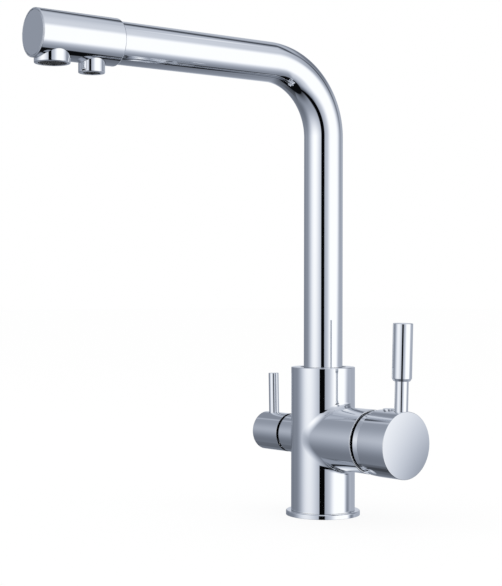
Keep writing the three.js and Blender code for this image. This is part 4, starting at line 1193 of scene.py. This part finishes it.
def studio_light(tree):
    """The colour of the studio in every direction, with its dim parts a little bluer."""
    way = add(tree, "ShaderNodeVectorMath", {0: own_place(tree)}, operation="NORMALIZE").outputs[0]
    parts = split(tree, way)
    turn = maths(tree, "DEGREES", maths(tree, "ARCTAN2", parts["Y"], parts["X"]))
    turn = maths(tree, "ADD", turn, CAMERA_TURN)
    rise = maths(tree, "DEGREES", maths(tree, "ARCSINE", parts["Z"]))
    ramp = add(tree, "ShaderNodeValToRGB", {0: ranged(tree, rise, -90.0, 90.0)})
    elements = ramp.color_ramp.elements
    for index, (angle, value) in enumerate(ROOM_STOPS):
        element = elements[index] if index < 2 else elements.new(0.5)
        element.position = (angle + 90) / 180
        element.color = grey(value)
    light = ramp.outputs["Color"]
    for name, sizes, brightness in PANELS:
        sizes = dict(zip(PANEL_SIZES, sizes))
        mask = use(tree, "soft_panel", {"Turn": turn, "Rise": rise, **sizes}, name)["Mask"]
        light = blended(tree, mask, light, grey(brightness))
    light = blended(tree, well_mask(tree, way), light, grey(WELL_LIGHT))
    tint = blended(tree, ranged(tree, light, DIM_LIGHT, FULL_LIGHT), DIM_TINT, WHITE)
    return blended(tree, 1.0, light, tint, blend_type="MULTIPLY")


def studio_tent():
    """A great pale shell that only the metal sees, with the soft panels of a photo studio."""
    material, tree, output = studio_material("studio_tent")
    material.cycles.emission_sampling = "NONE"
    glow = add(tree, "ShaderNodeEmission", {"Color": studio_light(tree), "Strength": 1.0})
    fill(tree, output, {"Surface": glow.outputs[0]})
    shell = bmesh.new()
    bmesh.ops.create_uvsphere(shell, u_segments=96, v_segments=48, radius=TENT_RADIUS)
    mesh = bpy.data.meshes.new("studio_tent")
    shell.to_mesh(mesh)
    shell.free()
    mesh.materials.append(material)
    tent = scene_object("studio_tent", mesh)
    tent.visible_camera = False
    tent.visible_diffuse = False
    tent.visible_shadow = False
    tent.visible_transmission = False


def floor():
    """A plain pale floor that fades into the white background and keeps the soft shadow."""
    material, tree, output = studio_material("pale_floor")
    matt = add(tree, "ShaderNodeBsdfDiffuse", {"Color": grey(0.95)})
    glow = add(tree, "ShaderNodeEmission", {"Color": WHITE, "Strength": 1.0})
    path = add(tree, "ShaderNodeLightPath").outputs
    seen = maths(tree, "MULTIPLY", path["Is Camera Ray"], FLOOR_GLOW)
    mix = add(tree, "ShaderNodeMixShader", {0: seen, 1: matt.outputs[0], 2: glow.outputs[0]})
    fill(tree, output, {"Surface": mix.outputs[0]})
    mesh = bpy.data.meshes.new("pale_floor")
    near, far = -FLOOR_REACH, FLOOR_REACH
    mesh.from_pydata(
        [(near, near, 0), (far, near, 0), (far, far, 0), (near, far, 0)], [], [(0, 1, 2, 3)],
    )
    mesh.materials.append(material)
    plane = scene_object("pale_floor", mesh)
    plane.visible_glossy = False


def world():
    """Plain white all round."""
    sky = bpy.data.worlds.new("white_world")
    sky.use_nodes = True
    tree = sky.node_tree
    fill(tree, tree.nodes["Background"], {"Color": WHITE, "Strength": 1.0})
    bpy.context.scene.world = sky


def soft_lamp(name, place, size, watts):
    """A large square lamp aimed at the tap, which the metal itself doesn't mirror."""
    light = bpy.data.lights.new(name, "AREA")
    light.size = size
    light.energy = watts
    lamp = scene_object(name, light)
    lamp.location = place
    aim = Vector(TAP_MIDDLE) - Vector(place)
    lamp.rotation_euler = aim.to_track_quat("-Z", "Y").to_euler()
    lamp.visible_glossy = False


def camera():
    """The photograph's view, found from the silhouettes."""
    lens = bpy.data.cameras.new("photo_view")
    lens.sensor_width = 36
    lens.lens = 83.57
    lens.clip_start = 0.05
    lens.clip_end = 100
    view = scene_object("photo_view", lens)
    right = Vector((0.647939, 0.761690, 0.001677))
    back = Vector((0.761692, -0.647937, -0.001606))
    place = (0.715496, -0.677219, 0.158112)
    view.matrix_world = frame_matrix(right, back.cross(right), back, place)
    bpy.context.scene.camera = view


studio_tent()
floor()
world()
soft_lamp("key_lamp", (-0.9, -1.3, 1.6), size=1.2, watts=4)
soft_lamp("fill_lamp", (1.5, 0.5, 1.0), size=1.2, watts=3)
camera()
bpy.context.scene.view_settings.view_transform = "Standard"
